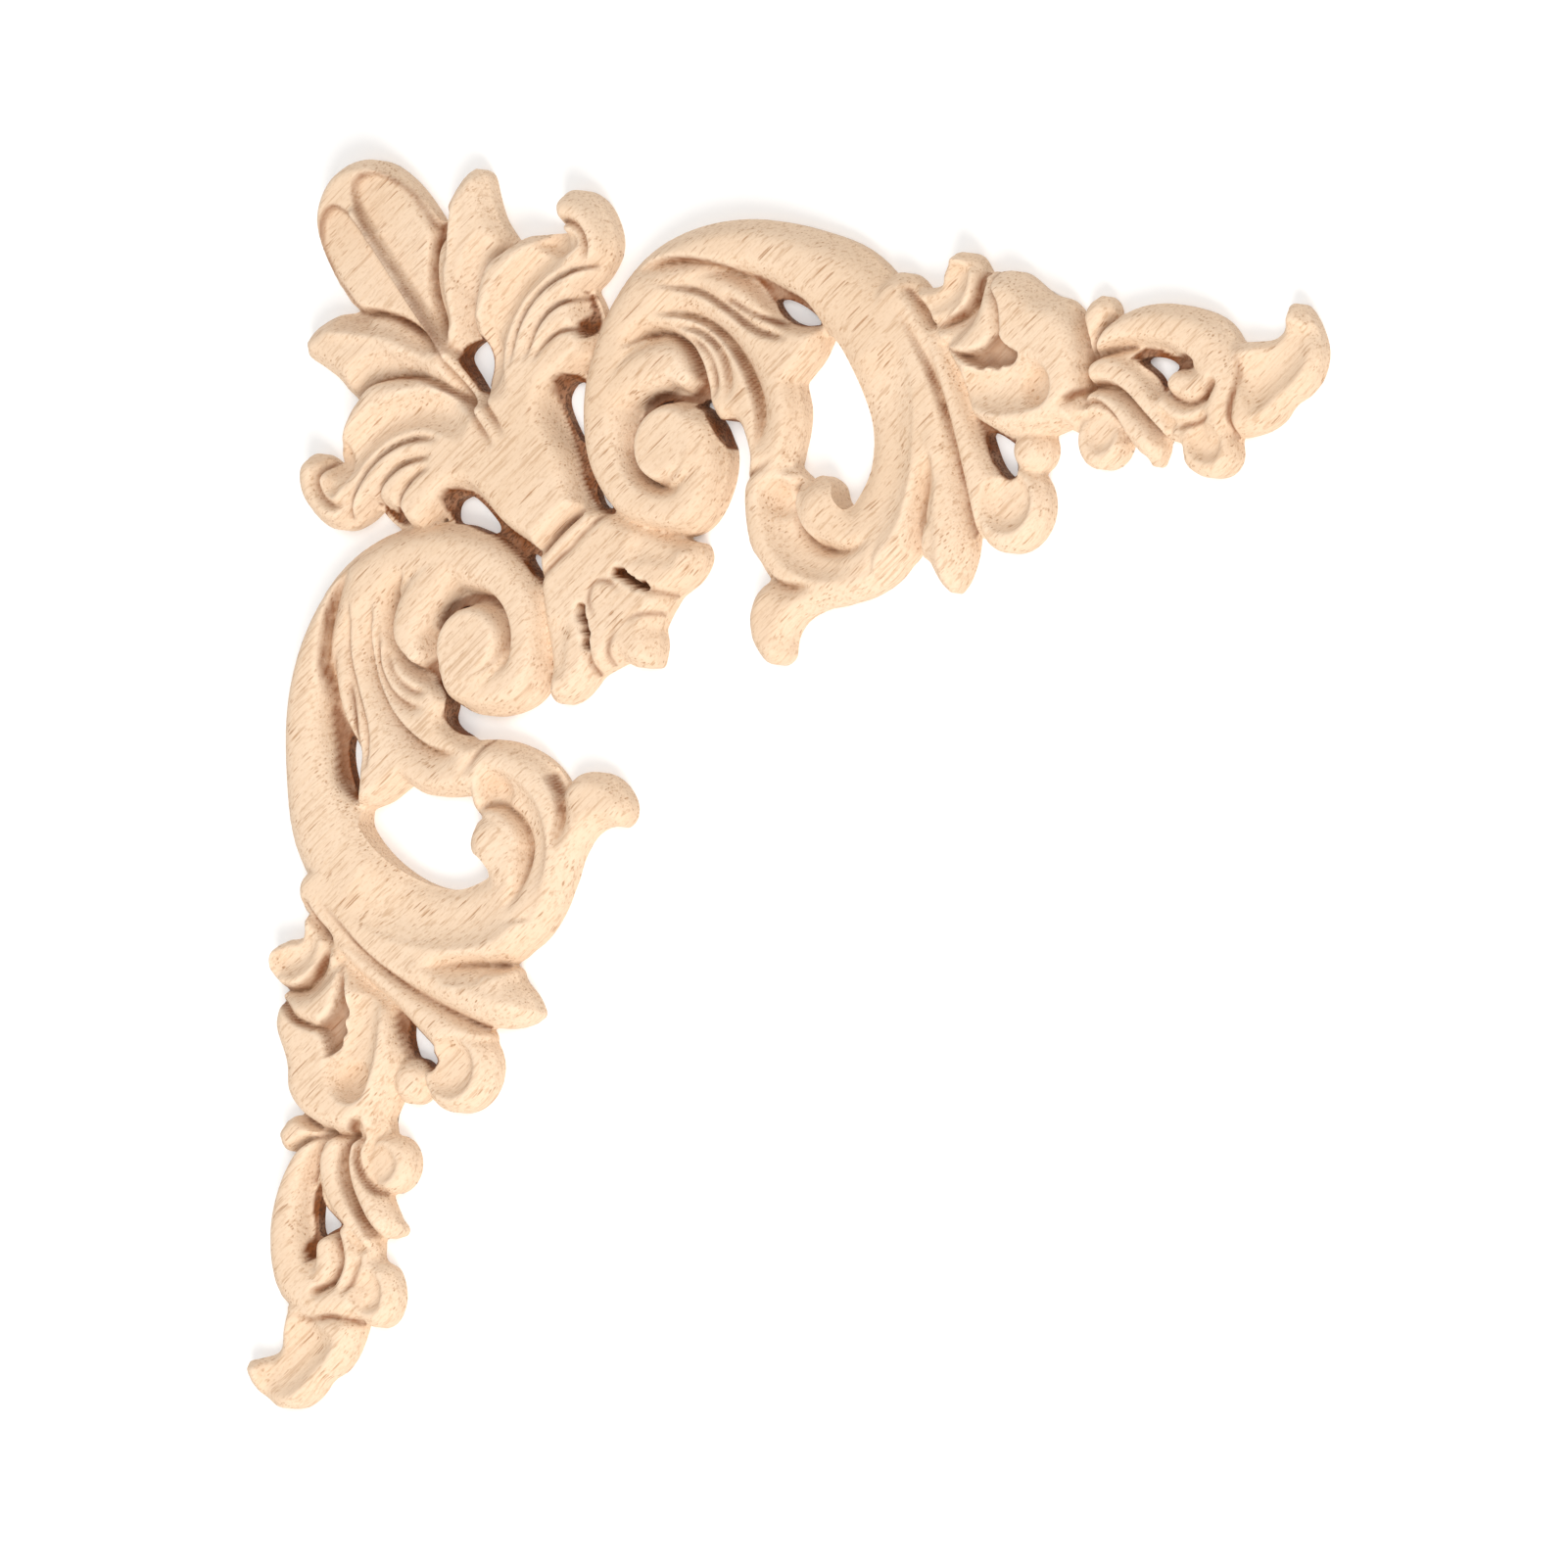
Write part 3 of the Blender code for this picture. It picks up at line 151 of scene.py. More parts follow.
def mass(path, crown, roll):
    """Block of a closed outline, rounded from its edge up to its crown over the width of the roll."""
    box = window(path, 1.0)
    depth = depth_in(path, box)
    t = np.clip(depth / roll, 0, 1)
    stand(box, depth, SAWN_EDGE + (crown - SAWN_EDGE) * (1 - (1 - t) ** 2.8))


def ribbon(rows):
    """Rounded band along a path; each row holds U, V, half the width, and the crown."""
    path = smooth(rows)
    box = window(path, path[:, 2].max() + 1)
    distance, _, columns = nearest(path, box)
    half, crown = columns[..., 0], columns[..., 1]
    t = np.clip(distance / half, 0, 1)
    stand(box, half - distance, SAWN_EDGE + (crown - SAWN_EDGE) * (1 - t ** 3.2))


# the band, from the eye to the lower curl
ribbon([(14.3, -11.4, 1.6, CROWN_OF_BAND), (16.1, -9.1, 2.0, CROWN_OF_BAND), (16.1, -6.2, 2.3, CROWN_OF_BAND),
        (14.4, -3.2, 2.5, CROWN_OF_BAND), (11.2, -2.8, 2.2, CROWN_OF_BAND), (7.9, -3.8, 2.7, CROWN_OF_BAND),
        (5.0, -6.8, 2.9, CROWN_OF_BAND), (3.8, -10.6, 3.1, CROWN_OF_BAND), (3.8, -14.8, 3.2, CROWN_OF_BAND),
        (5.4, -20.0, 3.4, CROWN_OF_SHELL), (8.8, -24.3, 3.5, CROWN_OF_SHELL),
        (13.3, -27.2, 2.9, CROWN_OF_BAND), (19.0, -28.3, 2.8, CROWN_OF_BAND),
        (25.0, -27.2, 3.5, CROWN_OF_BAND), (30.4, -24.8, 4.5, CROWN_OF_BAND),
        (35.0, -20.6, 4.6, CROWN_OF_BAND), (38.4, -14.8, 4.4, CROWN_OF_BAND),
        (38.9, -8.6, 4.0, CROWN_OF_SHELL), (37.3, -3.2, 4.2, CROWN_OF_SHELL),
        (33.0, 1.2, 3.4, CROWN_OF_LEAF), (28.6, 1.5, 3.3, CROWN_OF_LEAF), (25.2, -0.6, 3.1, CROWN_OF_LEAF),
        (23.4, -4.6, 2.7, CROWN_OF_LEAF), (23.7, -8.4, 2.7, CROWN_OF_LEAF)])
# the eye, and the place where it runs into the band
mass(oval(14.3, -9.0, 3.7), CROWN_OF_TRUNK, 1.6)
mass(oval(12.2, -8.8, 4.3), CROWN_OF_EYE, 1.2)
# the lip
ribbon([(4.6, -13.6, 2.8, CROWN_OF_BAND), (8.2, -15.8, 2.9, CROWN_OF_TRUNK),
        (11.2, -16.6, 2.6, CROWN_OF_TRUNK), (13.2, -15.6, 1.6, CROWN_OF_BAND)])

# Acanthus leaf
#
# A leaf lies inside the scroll, under the band. Its lobes are parted by long creases that all rise from the
# top of the volute, and the step beneath the band shows that the band passes over it.

CREASE_SHADE_WIDTH = 0.26       # of the painted shade lines at the bottom of the cuts


def outline(*runs):
    """Closed outline of smooth runs that meet at corners. A single run closes on itself smoothly."""
    if len(runs) == 1:
        return smooth(runs[0], closed=True)
    return np.vstack([smooth(run) for run in runs])


def cut(points, half, depth, section, fades, side=0, line=0.0):
    """Cut along a path, on both sides or on one. It can have a painted shade line at its bottom, and its ends
    fade out.
    """
    path = smooth(points)
    box = window(path, half + 1)
    distance, which, columns = nearest(path, box)
    strength = np.ones(distance.shape)
    for share, way in zip(fades, (columns[..., 0], 1 - columns[..., 0])):
        if share:
            strength *= np.clip(way / share, 0, 1)
    amount = depth * np.sin(strength * np.pi / 2) * section(np.clip(distance / half, 0, 1))
    if side:
        amount = np.where(which == side, amount, 0)
    surface[box] -= amount
    crease_shade[box] = np.maximum(crease_shade[box], line * strength * np.clip(1.3 - distance / CREASE_SHADE_WIDTH, 0, 1))


def crease(points, half, depth, fades=(0.2, 0.2)):
    """Sharp valley between two rounded folds."""
    cut(points, half, depth, lambda t: (1 - t) ** 2, fades, line=0.8)


def stop_cut(points, half, depth, side, fades=(0.15, 0.15)):
    """Step at an overlap, drawn with a fine painted shade line: the surface drops there and climbs back on
    one side.
    """
    cut(points, half, depth, lambda t: (1 - t) ** 2.1, fades, side)
    cut(points, 0.5, 0.35, lambda t: 1 - t, fades, line=1.0)


# the whole leaf, and the step beneath the band
mass(outline([(5.8, -17.5), (6.0, -24.0), (9.0, -26.6), (14.0, -26.7), (18.0, -25.6), (20.6, -24.1),
              (22.6, -22.2), (25.0, -21.5), (28.6, -21.4)],
             [(28.6, -21.4), (28.4, -20.4), (27.8, -18.7), (25.6, -15.9)],
             [(25.6, -15.9), (26.5, -13.6), (26.6, -11.2), (26.1, -8.0)],
             [(26.1, -8.0), (24.0, -7.0), (21.0, -6.4)],
             [(21.0, -6.4), (21.1, -8.2), (20.4, -10.0), (19.3, -11.6), (17.6, -11.4), (16.3, -12.4),
              (15.2, -14.4), (13.9, -16.6), (11.6, -18.4), (8.6, -18.9)]), CROWN_OF_LEAF, 1.7)
stop_cut([(5.6, -24.8), (9.0, -26.3), (14.0, -26.6), (18.0, -25.8), (21.0, -24.6)], 3.4, 1.8, 1, (0.3, 0.0))
# its lobes
stop_cut([(8.6, -21.2), (12.6, -21.2), (16.0, -20.1), (18.8, -18.0), (20.9, -15.4), (22.2, -12.4),
          (22.4, -9.0)], 3.0, 1.9, -1, (0.3, 0.25))
stop_cut([(8.6, -23.9), (13.6, -23.6), (17.6, -22.0), (21.0, -20.4), (25.0, -19.8)], 2.4, 1.1, -1, (0.3, 0.2))
stop_cut([(11.0, -20.3), (14.6, -19.7), (17.0, -18.0), (18.2, -15.8), (18.4, -13.6)],
         1.8, 1.0, -1, (0.3, 0.25))
stop_cut([(16.4, -23.4), (20.4, -22.0), (24.6, -21.1)], 1.3, 0.6, -1)
crease([(13.0, -19.4), (15.4, -18.0), (16.8, -15.8), (17.0, -13.6)], 0.9, 0.8)
# the step beneath the lip, and the groove round the eye
stop_cut([(5.6, -17.6), (7.6, -18.9), (10.0, -19.3), (12.4, -18.4), (14.0, -16.6), (14.9, -14.6)],
         2.0, 1.9, -1, (0.25, 0.0))
crease([(7.4, -9.8), (7.2, -8.0), (8.2, -6.2), (9.8, -5.2), (11.6, -5.0), (13.4, -5.8), (14.8, -7.4)],
       1.1, 1.7, (0.0, 0.6))

# Lower curl and tail leaf
#
# The band is hollowed on the side of the gap and ends below in a tight curl with a round bulb. A channel of
# the gouge runs round the bulb, and a small hooked leaf grows from under the curl.

CROWN_OF_CURL = 3.0


def flute(points, half, depth, fades=(0.25, 0.25)):
    """Channel of a round gouge."""
    cut(points, half, depth, lambda t: 1 - t ** 2, fades)


def bowl(path, depth, roll):
    """Dished hollow of a closed outline."""
    box = window(path, 1.0)
    t = np.clip(depth_in(path, box) / roll, 0, 1)
    surface[box] -= depth * (1 - (1 - t) ** 2)


# the shoulder of the band, the curl and its bulb
mass(outline([(33.0, -24.0), (36.0, -27.2), (39.6, -25.6), (44.0, -17.0), (46.4, -9.0), (46.6, -4.0)],
             [(46.6, -4.0), (42.3, -2.6)],
             [(42.3, -2.6), (40.6, 0.1), (37.0, 2.0), (36.0, -10.0), (33.0, -24.0)]), CROWN_OF_SHELL, 2.2)
mass(outline([(23.0, -8.6), (26.1, -8.0), (28.0, -6.8), (31.0, -3.0), (31.0, 1.0), (26.0, 1.0),
              (23.0, -3.0)]), CROWN_OF_CURL, 1.6)
ribbon([(30.4, -4.4, 3.1, CROWN_OF_SHELL), (32.4, -2.8, 2.8, CROWN_OF_LEAF),
        (35.0, -2.4, 2.2, CROWN_OF_LEAF)])
# the hooked leaf
mass(outline([(22.8, -0.2), (24.4, 2.6), (23.2, 4.7), (22.8, 6.8), (23.5, 9.0), (25.2, 10.7), (26.8, 10.9),
              (27.8, 10.1)],
             [(27.8, 10.1), (27.9, 8.0), (29.2, 6.2), (32.0, 4.9), (36.0, 3.8), (39.2, 1.8), (41.2, -1.0)],
             [(41.2, -1.0), (34.0, 0.5), (22.8, -0.2)]), CROWN_OF_CURL, 1.9)
# the hollow along the gap, and the channel round the bulb
flute([(35.4, -19.5), (37.2, -15.5), (37.9, -10.5), (37.7, -6.4), (36.4, -3.2), (33.6, -1.2)], 3.4, 1.2,
      (0.3, 0.35))
crease([(27.6, -6.9), (26.9, -4.8), (27.8, -2.4), (29.6, -0.9), (32.0, -0.3), (34.6, -0.6), (37.0, -1.9)],
       1.1, 1.8, (0.1, 0.5))
flute([(25.0, -6.8), (25.4, -4.0), (27.2, -1.0), (30.2, 0.6), (33.6, 0.6), (36.6, -0.8)],
      2.0, 1.3, (0.1, 0.5))
bowl(oval(25.6, -4.8, 2.0), 0.9, 2.0)
# the steps at the hooked leaf and at the acanthus
stop_cut([(23.6, 1.2), (25.5, 2.7), (27.5, 3.3), (30.5, 3.1)], 2.4, 1.6, 1, (0.0, 0.5))
crease([(20.7, -6.2), (22.6, -7.2), (24.6, -8.4)], 1.0, 0.6, (0.0, 0.6))

# Pointed leaf, scooped leaf and ball
#
# Two long leaves hang from the top of the band. The first ends in a point, the second in a scooped round with
# a small ball between it and the calyx.


def rib(points, half, rise, fades=(0.25, 0.25)):
    """Raised line."""
    cut(points, half, -rise, lambda t: (1 - t) ** 1.5, fades)


# the pointed leaf
mass(outline([(39.0, -22.0), (42.4, -12.0), (42.0, -1.9), (43.4, -0.1), (44.8, 1.6), (46.4, 2.7)],
             [(46.4, 2.7), (47.5, 1.0), (48.1, -2.0), (47.6, -5.8), (45.4, -12.4), (42.0, -19.0),
              (38.6, -23.6)]), CROWN_OF_SHELL, 2.6)
# the scooped leaf and the ball
mass(outline([(37.4, -26.4), (40.6, -24.0), (43.6, -20.6), (46.6, -15.4), (48.4, -12.6), (51.2, -8.6)],
             [(51.2, -8.6), (49.4, -2.9), (46.6, -7.0), (37.4, -26.4)]), CROWN_OF_LEAF, 2.2)
mass(oval(52.5, -5.9, 4.0, 1.06, -60), CROWN_OF_CURL, 1.6)
mass(oval(54.0, -11.6, 2.2), CROWN_OF_CURL, 1.9)
bowl(oval(52.4, -6.5, 3.0), 1.2, 1.5)
# the line between pointed leaf and curl, and the fold beside it
crease([(42.1, -1.8), (42.3, -5.0), (42.7, -8.0), (43.4, -11.0)], 1.5, 1.6, (0.0, 0.7))
flute([(42.6, -3.4), (43.0, -6.4), (44.0, -10.4)], 1.6, 0.7, (0.1, 0.6))
rib([(46.2, 1.6), (45.6, -2.0), (44.6, -7.0), (42.8, -12.6)], 1.2, 0.35)
# the long line between the two leaves
stop_cut([(37.4, -24.0), (40.3, -20.4), (42.2, -17.8), (44.2, -14.2), (46.2, -9.6), (47.6, -5.4),
          (48.3, -2.6)], 1.6, 0.8, -1, (0.25, 0.0))

# Curled leaves above the calyx
#
# Two small leaves curl out of the band one behind the other. Each is gouged hollow and keeps a bright raised
# edge on its outer side.

# the leaf at the band and the one beyond it
mass(outline([(38.6, -25.8), (41.3, -26.4), (41.9, -28.2), (43.0, -29.6), (44.9, -29.5), (46.4, -27.9)],
             [(46.4, -27.9), (46.3, -25.8), (45.1, -24.3), (43.0, -22.9), (41.4, -22.3)],
             [(41.4, -22.3), (38.6, -25.8)]), CROWN_OF_SHELL, 1.2)
mass(outline([(43.0, -24.0), (46.4, -27.9), (48.6, -27.7), (49.8, -25.6), (49.6, -23.8), (48.2, -21.8),
              (45.8, -20.6), (42.6, -20.7)],
             [(42.6, -20.7), (41.4, -22.3), (43.0, -24.0)]), CROWN_OF_LEAF, 1.1)
# their hollows, and the lines between leaf and leaf and at the band
flute([(43.8, -28.8), (43.7, -26.6), (42.2, -25.0), (39.8, -24.6)], 2.0, 1.4, (0.15, 0.5))
flute([(47.6, -27.4), (47.4, -24.8), (46.0, -22.9), (43.2, -21.7)], 1.6, 1.2, (0.1, 0.4))
stop_cut([(46.4, -28.4), (46.3, -25.7), (45.2, -24.1), (43.2, -22.9), (41.6, -22.2)],
         1.5, 1.6, -1, (0.0, 0.2))
crease([(37.8, -26.0), (39.8, -24.2), (41.6, -22.2)], 0.9, 1.1, (0.1, 0.1))

# Calyx
#
# The cup from which the end leaves grow: a broad rounded shell, hollowed inside, with a deep brown pocket
# where the two curled leaves meet it.


def pit(path, floor, draft, brown=1.0):
    """Deep hollow whose walls lean by the draft and end on a thin floor, browned by the cutter."""
    box = window(path, 1.0)
    depth = depth_in(path, box)
    surface[box] = np.where(inside[box] > 0, surface[box], floor)
    t = np.clip(depth / draft, 0, 1)
    surface[box] += t * np.minimum(floor - surface[box], 0)
    inside[box] = np.maximum(inside[box], depth + 0.25)
    burnt[box] = np.maximum(burnt[box], brown * np.clip(t / 0.35, 0, 1))


mass(outline([(46.6, -27.6), (48.7, -28.3), (50.7, -28.2), (53.7, -26.6), (56.4, -26.0), (58.6, -24.0),
              (59.8, -21.2)],
             [(59.8, -21.2), (60.2, -17.6), (59.4, -13.9)],
             [(59.4, -13.9), (57.9, -14.1), (55.8, -13.3), (51.9, -12.3), (48.8, -13.0), (46.9, -14.2)],
             [(46.9, -14.2), (45.1, -17.6), (42.6, -20.6)],
             [(42.6, -20.6), (46.0, -24.0), (46.6, -27.6)]), CROWN_OF_TRUNK, 2.8)
stop_cut([(47.6, -28.4), (48.2, -26.6), (49.4, -25.0), (50.0, -22.6)], 1.4, 1.4, 1, (0.0, 0.0))
# the hollow of the cup, and the pocket
bowl(outline([(52.4, -20.6), (55.4, -20.2), (56.8, -18.2), (56.2, -16.0), (52.6, -14.7), (48.2, -14.8),
              (46.4, -16.6), (46.6, -18.8), (49.6, -19.4)]), 1.4, 2.2)
bowl(oval(54.8, -17.6, 2.1), 1.0, 1.3)
pit(outline([(42.4, -21.0), (44.4, -20.5), (46.4, -20.4), (48.4, -21.0), (49.8, -22.8)],
            [(49.8, -22.8), (50.8, -21.5), (52.8, -20.7)],
            [(52.8, -20.7), (51.6, -19.4), (50.6, -19.2), (50.1, -18.8), (49.0, -19.0), (48.3, -18.7),
             (46.8, -19.1), (46.0, -19.4), (44.4, -20.0), (42.4, -21.0)]), 2.2, 0.4, 0.6)

# End leaves
#
# Beyond the calyx an arch springs over a small gap, with two narrow leaves and two scooped lobes below it and
# an inner curl at its far end.

CROWN_OF_FRINGE = 2.6

# the low wood that joins the leaves, and a bud at the calyx
mass(outline([(57.0, -20.6), (61.6, -22.4), (66.0, -21.6), (68.6, -18.0), (71.0, -19.6), (75.0, -20.6),
              (76.0, -16.0), (71.0, -13.8), (66.0, -14.4), (60.2, -13.6), (57.0, -15.0)]),
     CROWN_OF_FRINGE - 0.7, 1.0)
mass(outline([(59.8, -20.8), (58.4, -24.2), (59.0, -25.9), (60.4, -26.9)],
             [(60.4, -26.9), (61.6, -26.1), (61.8, -24.6), (59.8, -20.8)]), CROWN_OF_FRINGE, 1.4)
# the arch, and the two narrow leaves
ribbon([(59.7, -21.6, 0.9, CROWN_OF_FRINGE), (62.4, -23.3, 1.3, CROWN_OF_CURL),
        (66.0, -24.4, 1.9, CROWN_OF_CURL), (70.0, -24.3, 2.3, CROWN_OF_LEAF),
        (73.8, -22.6, 2.8, CROWN_OF_LEAF), (75.6, -18.8, 2.2, CROWN_OF_LEAF),
        (75.2, -15.0, 1.8, CROWN_OF_CURL)])
ribbon([(58.6, -19.6, 1.5, CROWN_OF_CURL), (62.0, -19.9, 1.7, CROWN_OF_CURL),
        (64.8, -19.1, 1.7, CROWN_OF_CURL), (67.4, -17.0, 1.4, CROWN_OF_CURL),
        (69.4, -14.8, 1.0, CROWN_OF_FRINGE)])
ribbon([(58.4, -16.2, 1.5, CROWN_OF_CURL), (61.2, -16.8, 1.5, CROWN_OF_CURL),
        (64.2, -16.0, 1.7, CROWN_OF_CURL), (66.8, -14.4, 1.7, CROWN_OF_CURL),
        (68.0, -12.9, 1.3, CROWN_OF_FRINGE), (68.3, -11.7, 0.6, SAWN_EDGE)])
# the first scooped lobe
mass(oval(62.1, -13.2, 2.8), CROWN_OF_FRINGE, 1.0)
bowl(outline([(60.4, -15.4), (60.5, -13.2), (62.0, -11.8), (63.8, -12.6), (64.2, -14.6), (62.6, -15.8)]),
     0.7, 1.0)
# the inner curl
ribbon([(70.6, -19.3, 1.5, CROWN_OF_CURL), (72.6, -19.1, 1.6, CROWN_OF_CURL),
        (74.2, -20.0, 1.2, CROWN_OF_CURL)])
ribbon([(69.4, -17.4, 1.2, CROWN_OF_CURL), (71.6, -16.6, 1.4, CROWN_OF_CURL),
        (74.0, -17.2, 1.4, CROWN_OF_CURL)])
# the second scooped lobe
mass(outline([(69.8, -13.7), (71.3, -13.5), (72.2, -11.6), (74.6, -10.6), (76.8, -11.1), (77.8, -12.6),
              (77.4, -14.6)],
             [(77.4, -14.6), (76.6, -18.0), (72.0, -18.0), (69.8, -13.7)]), CROWN_OF_FRINGE, 1.3)
bowl(outline([(72.4, -13.8), (73.6, -12.2), (76.0, -12.2), (76.6, -14.2), (75.2, -15.8), (73.2, -15.4)]),
     0.9, 1.1)
# the lines that part them
stop_cut([(58.4, -16.8), (60.4, -18.2), (62.8, -18.5), (65.0, -17.6), (67.0, -16.1), (69.2, -14.4)],
         1.8, 1.6, 1, (0.0, 0.0))
stop_cut([(59.4, -16.2), (61.4, -16.8), (63.4, -15.9), (64.8, -14.4), (65.2, -13.0)], 1.6, 1.1, 1, (0.1, 0.1))
crease([(59.6, -20.2), (61.8, -21.5), (64.6, -22.3)], 0.9, 1.5, (0.0, 0.0))
crease([(60.0, -20.6), (60.6, -22.8), (61.9, -24.8)], 0.8, 1.5, (0.0, 0.0))
stop_cut([(69.0, -18.6), (70.4, -17.8), (72.2, -17.4), (74.0, -18.2), (75.2, -20.2)], 1.6, 1.4, 1, (0.0, 0.1))
crease([(71.0, -15.0), (73.4, -15.6), (75.2, -16.6)], 0.9, 0.7)
crease([(57.6, -25.4), (58.9, -23.2), (59.7, -20.6), (59.9, -17.6), (59.4, -15.4)], 0.9, 1.7, (0.0, 0.3))

# Claw at the tip
#
# The arm ends in a leaf that turns up like a claw. Its face is gouged hollow along its length.

mass(outline([(76.2, -23.6), (79.0, -23.8), (80.9, -24.3), (81.9, -26.0), (82.4, -27.5), (83.6, -27.6),
              (85.2, -26.0), (86.4, -23.6), (86.2, -21.2), (85.0, -19.4), (83.3, -18.2), (82.2, -16.6),
              (80.4, -15.4), (77.8, -14.6)],
             [(77.8, -14.6), (75.6, -17.0), (76.2, -23.6)]), CROWN_OF_CURL, 1.6)
flute([(83.4, -26.0), (83.2, -23.4), (81.0, -20.8), (78.0, -19.0)], 3.0, 1.3, (0.15, 0.2))
stop_cut([(77.0, -23.8), (77.7, -20.4), (77.2, -17.2), (77.6, -14.4)], 1.6, 0.6, -1, (0.5, 0.0))

# Palmette
#
# The fan at the corner: a smooth trunk, on each side a fluted leaf that curls at its tip and a plain pointed
# one, and in the middle a long lobe with two sunk panels and a thin rib, which stands on the mirror line.

# the trunk with the fluted leaf
mass(outline([(-11.5, -2.5), (-7.0, -0.4), (-2.3, 2.5)], [(-2.3, 2.5), (2.5, -2.3)],
             [(2.5, -2.3), (0.4, -7.0), (-1.6, -9.6), (-2.7, -11.6), (-2.2, -13.4), (-0.4, -14.8),
              (1.5, -16.4), (1.3, -18.5)],
             [(1.3, -18.5), (-0.2, -20.8), (-0.4, -22.8)],
             [(-0.4, -22.8), (1.0, -24.2), (2.1, -26.4), (1.9, -28.6), (0.3, -31.0), (-1.8, -32.2),
              (-3.8, -32.2), (-4.9, -31.0), (-4.7, -29.6), (-3.9, -28.2)],
             [(-3.9, -28.2), (-6.0, -27.8), (-8.0, -27.5), (-9.9, -26.7)],
             [(-9.9, -26.7), (-12.8, -24.0), (-13.2, -17.0), (-12.0, -13.0), (-13.0, -6.0)]),
     CROWN_OF_TRUNK, 2.2)
# the pointed leaf
mass(outline([(-18.9, -27.8), (-18.2, -30.2), (-16.8, -32.5), (-15.4, -33.6)],
             [(-15.4, -33.6), (-14.1, -33.0), (-13.2, -31.0), (-12.0, -28.8), (-9.9, -26.7)],
             [(-9.9, -26.7), (-11.4, -22.0), (-11.0, -16.0), (-13.0, -12.0), (-16.0, -15.6), (-18.4, -20.0),
              (-18.9, -27.8)]), CROWN_OF_LEAF, 2.4)
# the middle lobe, its sunk panels and its rib
mass(outline([(-10.0, -6.0), (-6.0, -10.0), (-12.0, -20.0), (-18.8, -27.8), (-23.4, -31.9), (-27.8, -33.5),
              (-31.9, -31.9), (-33.5, -27.8), (-31.9, -23.4), (-27.8, -18.8), (-20.0, -12.0)]),
     CROWN_OF_SHELL, 1.6)
panel = [(-18.7, -27.0), (-22.0, -30.3), (-25.4, -32.0), (-27.6, -31.9), (-28.6, -30.8), (-28.2, -29.3),
         (-26.8, -27.3), (-24.4, -24.8), (-20.0, -20.4), (-15.4, -15.8), (-17.6, -20.4), (-18.6, -23.6)]
bowl(outline(panel), 0.9, 0.3)
bowl(outline([(v, u) for u, v in panel]), 0.9, 0.3)
crease(panel + panel[:1], 0.4, 0.2, (0.0, 0.0))
rib([(-24.9, -26.9), (-25.9, -25.9), (-26.9, -24.9)], 0.5, 0.25)
cut([(-7.6, -7.6), (-28.0, -28.0)], 0.65, -0.55, lambda t: 1 - t ** 4, (0.34, 0.0))
crease([(-7.0, -8.2), (-11.0, -12.2), (-15.6, -16.6)], 0.7, 0.9, (0.2, 0.1))
# the folds of the pointed leaf
stop_cut([(-18.8, -28.0), (-18.9, -24.0), (-18.0, -20.4), (-15.4, -16.4)], 2.0, 1.3, -1, (0.0, 0.2))
flute([(-18.2, -29.6), (-18.0, -26.0), (-17.4, -21.6), (-15.6, -17.6)], 1.5, 0.9, (0.1, 0.2))
rib([(-16.4, -31.6), (-16.6, -26.0), (-16.4, -22.0), (-14.8, -18.0)], 0.9, 0.4)
stop_cut([(-9.8, -26.9), (-12.0, -24.4), (-12.9, -21.0), (-12.8, -17.4), (-11.4, -13.4), (-9.8, -11.0)],
         2.6, 1.8, 1, (0.0, 0.15))
flute([(-12.4, -27.2), (-13.8, -24.0), (-14.2, -20.6), (-13.4, -17.6)], 1.2, 0.6)
# the folds of the fluted leaf
flute([(-8.8, -11.4), (-9.9, -15.0), (-9.8, -18.4), (-8.2, -22.2), (-5.4, -25.2), (-2.2, -27.0)], 2.0, 1.7,
      (0.25, 0.15))
stop_cut([(-7.2, -14.6), (-7.0, -18.0), (-5.8, -20.8), (-3.9, -22.9), (-1.4, -24.4), (0.8, -25.2)],
         1.7, 1.3, -1, (0.3, 0.0))
stop_cut([(-5.6, -15.4), (-4.7, -18.6), (-3.2, -20.6), (-1.2, -21.8), (0.4, -22.4)], 1.5, 1.3, -1, (0.3, 0.0))
stop_cut([(-4.6, -15.4), (-3.6, -17.2), (-1.8, -18.6), (0.4, -19.2)], 1.3, 0.9, -1, (0.4, 0.0))
# its curled tip, and the hollow beneath
bowl(outline([(-6.4, -26.6), (-4.4, -28.2), (-1.6, -28.4), (-0.8, -26.8), (-3.2, -25.6)]), 1.3, 1.0)
crease([(-4.4, -28.6), (-2.6, -29.3), (-0.9, -28.5), (0.0, -26.8), (-0.6, -25.2)], 0.9, 1.4, (0.0, 0.3))
pit(outline([(-0.8, -22.8), (0.2, -22.0), (1.2, -20.2), (0.8, -18.3), (-0.2, -18.6), (-0.6, -19.6),
             (-0.2, -20.8)]), 1.0, 0.5)

# Foot husk
#
# Below the neck a short husk of three lobes closes the corner. A stop cut parts it from the trunk, a second
# line marks its collar, and a narrow slot parts its lobes on each side.

mass(outline([(2.5, -2.4), (5.5, -2.2), (9.0, -1.2), (14.3, 0.0), (16.0, 0.2), (16.7, 1.6), (15.8, 3.6),
              (13.6, 5.4)],
             [(13.6, 5.4), (12.5, 7.4), (12.0, 8.6)],
             [(12.0, 8.6), (12.5, 10.2), (12.3, 12.3)],
             [(12.3, 12.3), (10.2, 12.5), (8.6, 12.0)],
             [(8.6, 12.0), (7.4, 12.5), (5.4, 13.6)],
             [(5.4, 13.6), (3.6, 15.8), (1.6, 16.7), (0.2, 16.0), (0.0, 14.3), (-1.2, 9.0), (-2.2, 5.5),
              (-2.4, 2.5)]), CROWN_OF_LEAF, 2.0)
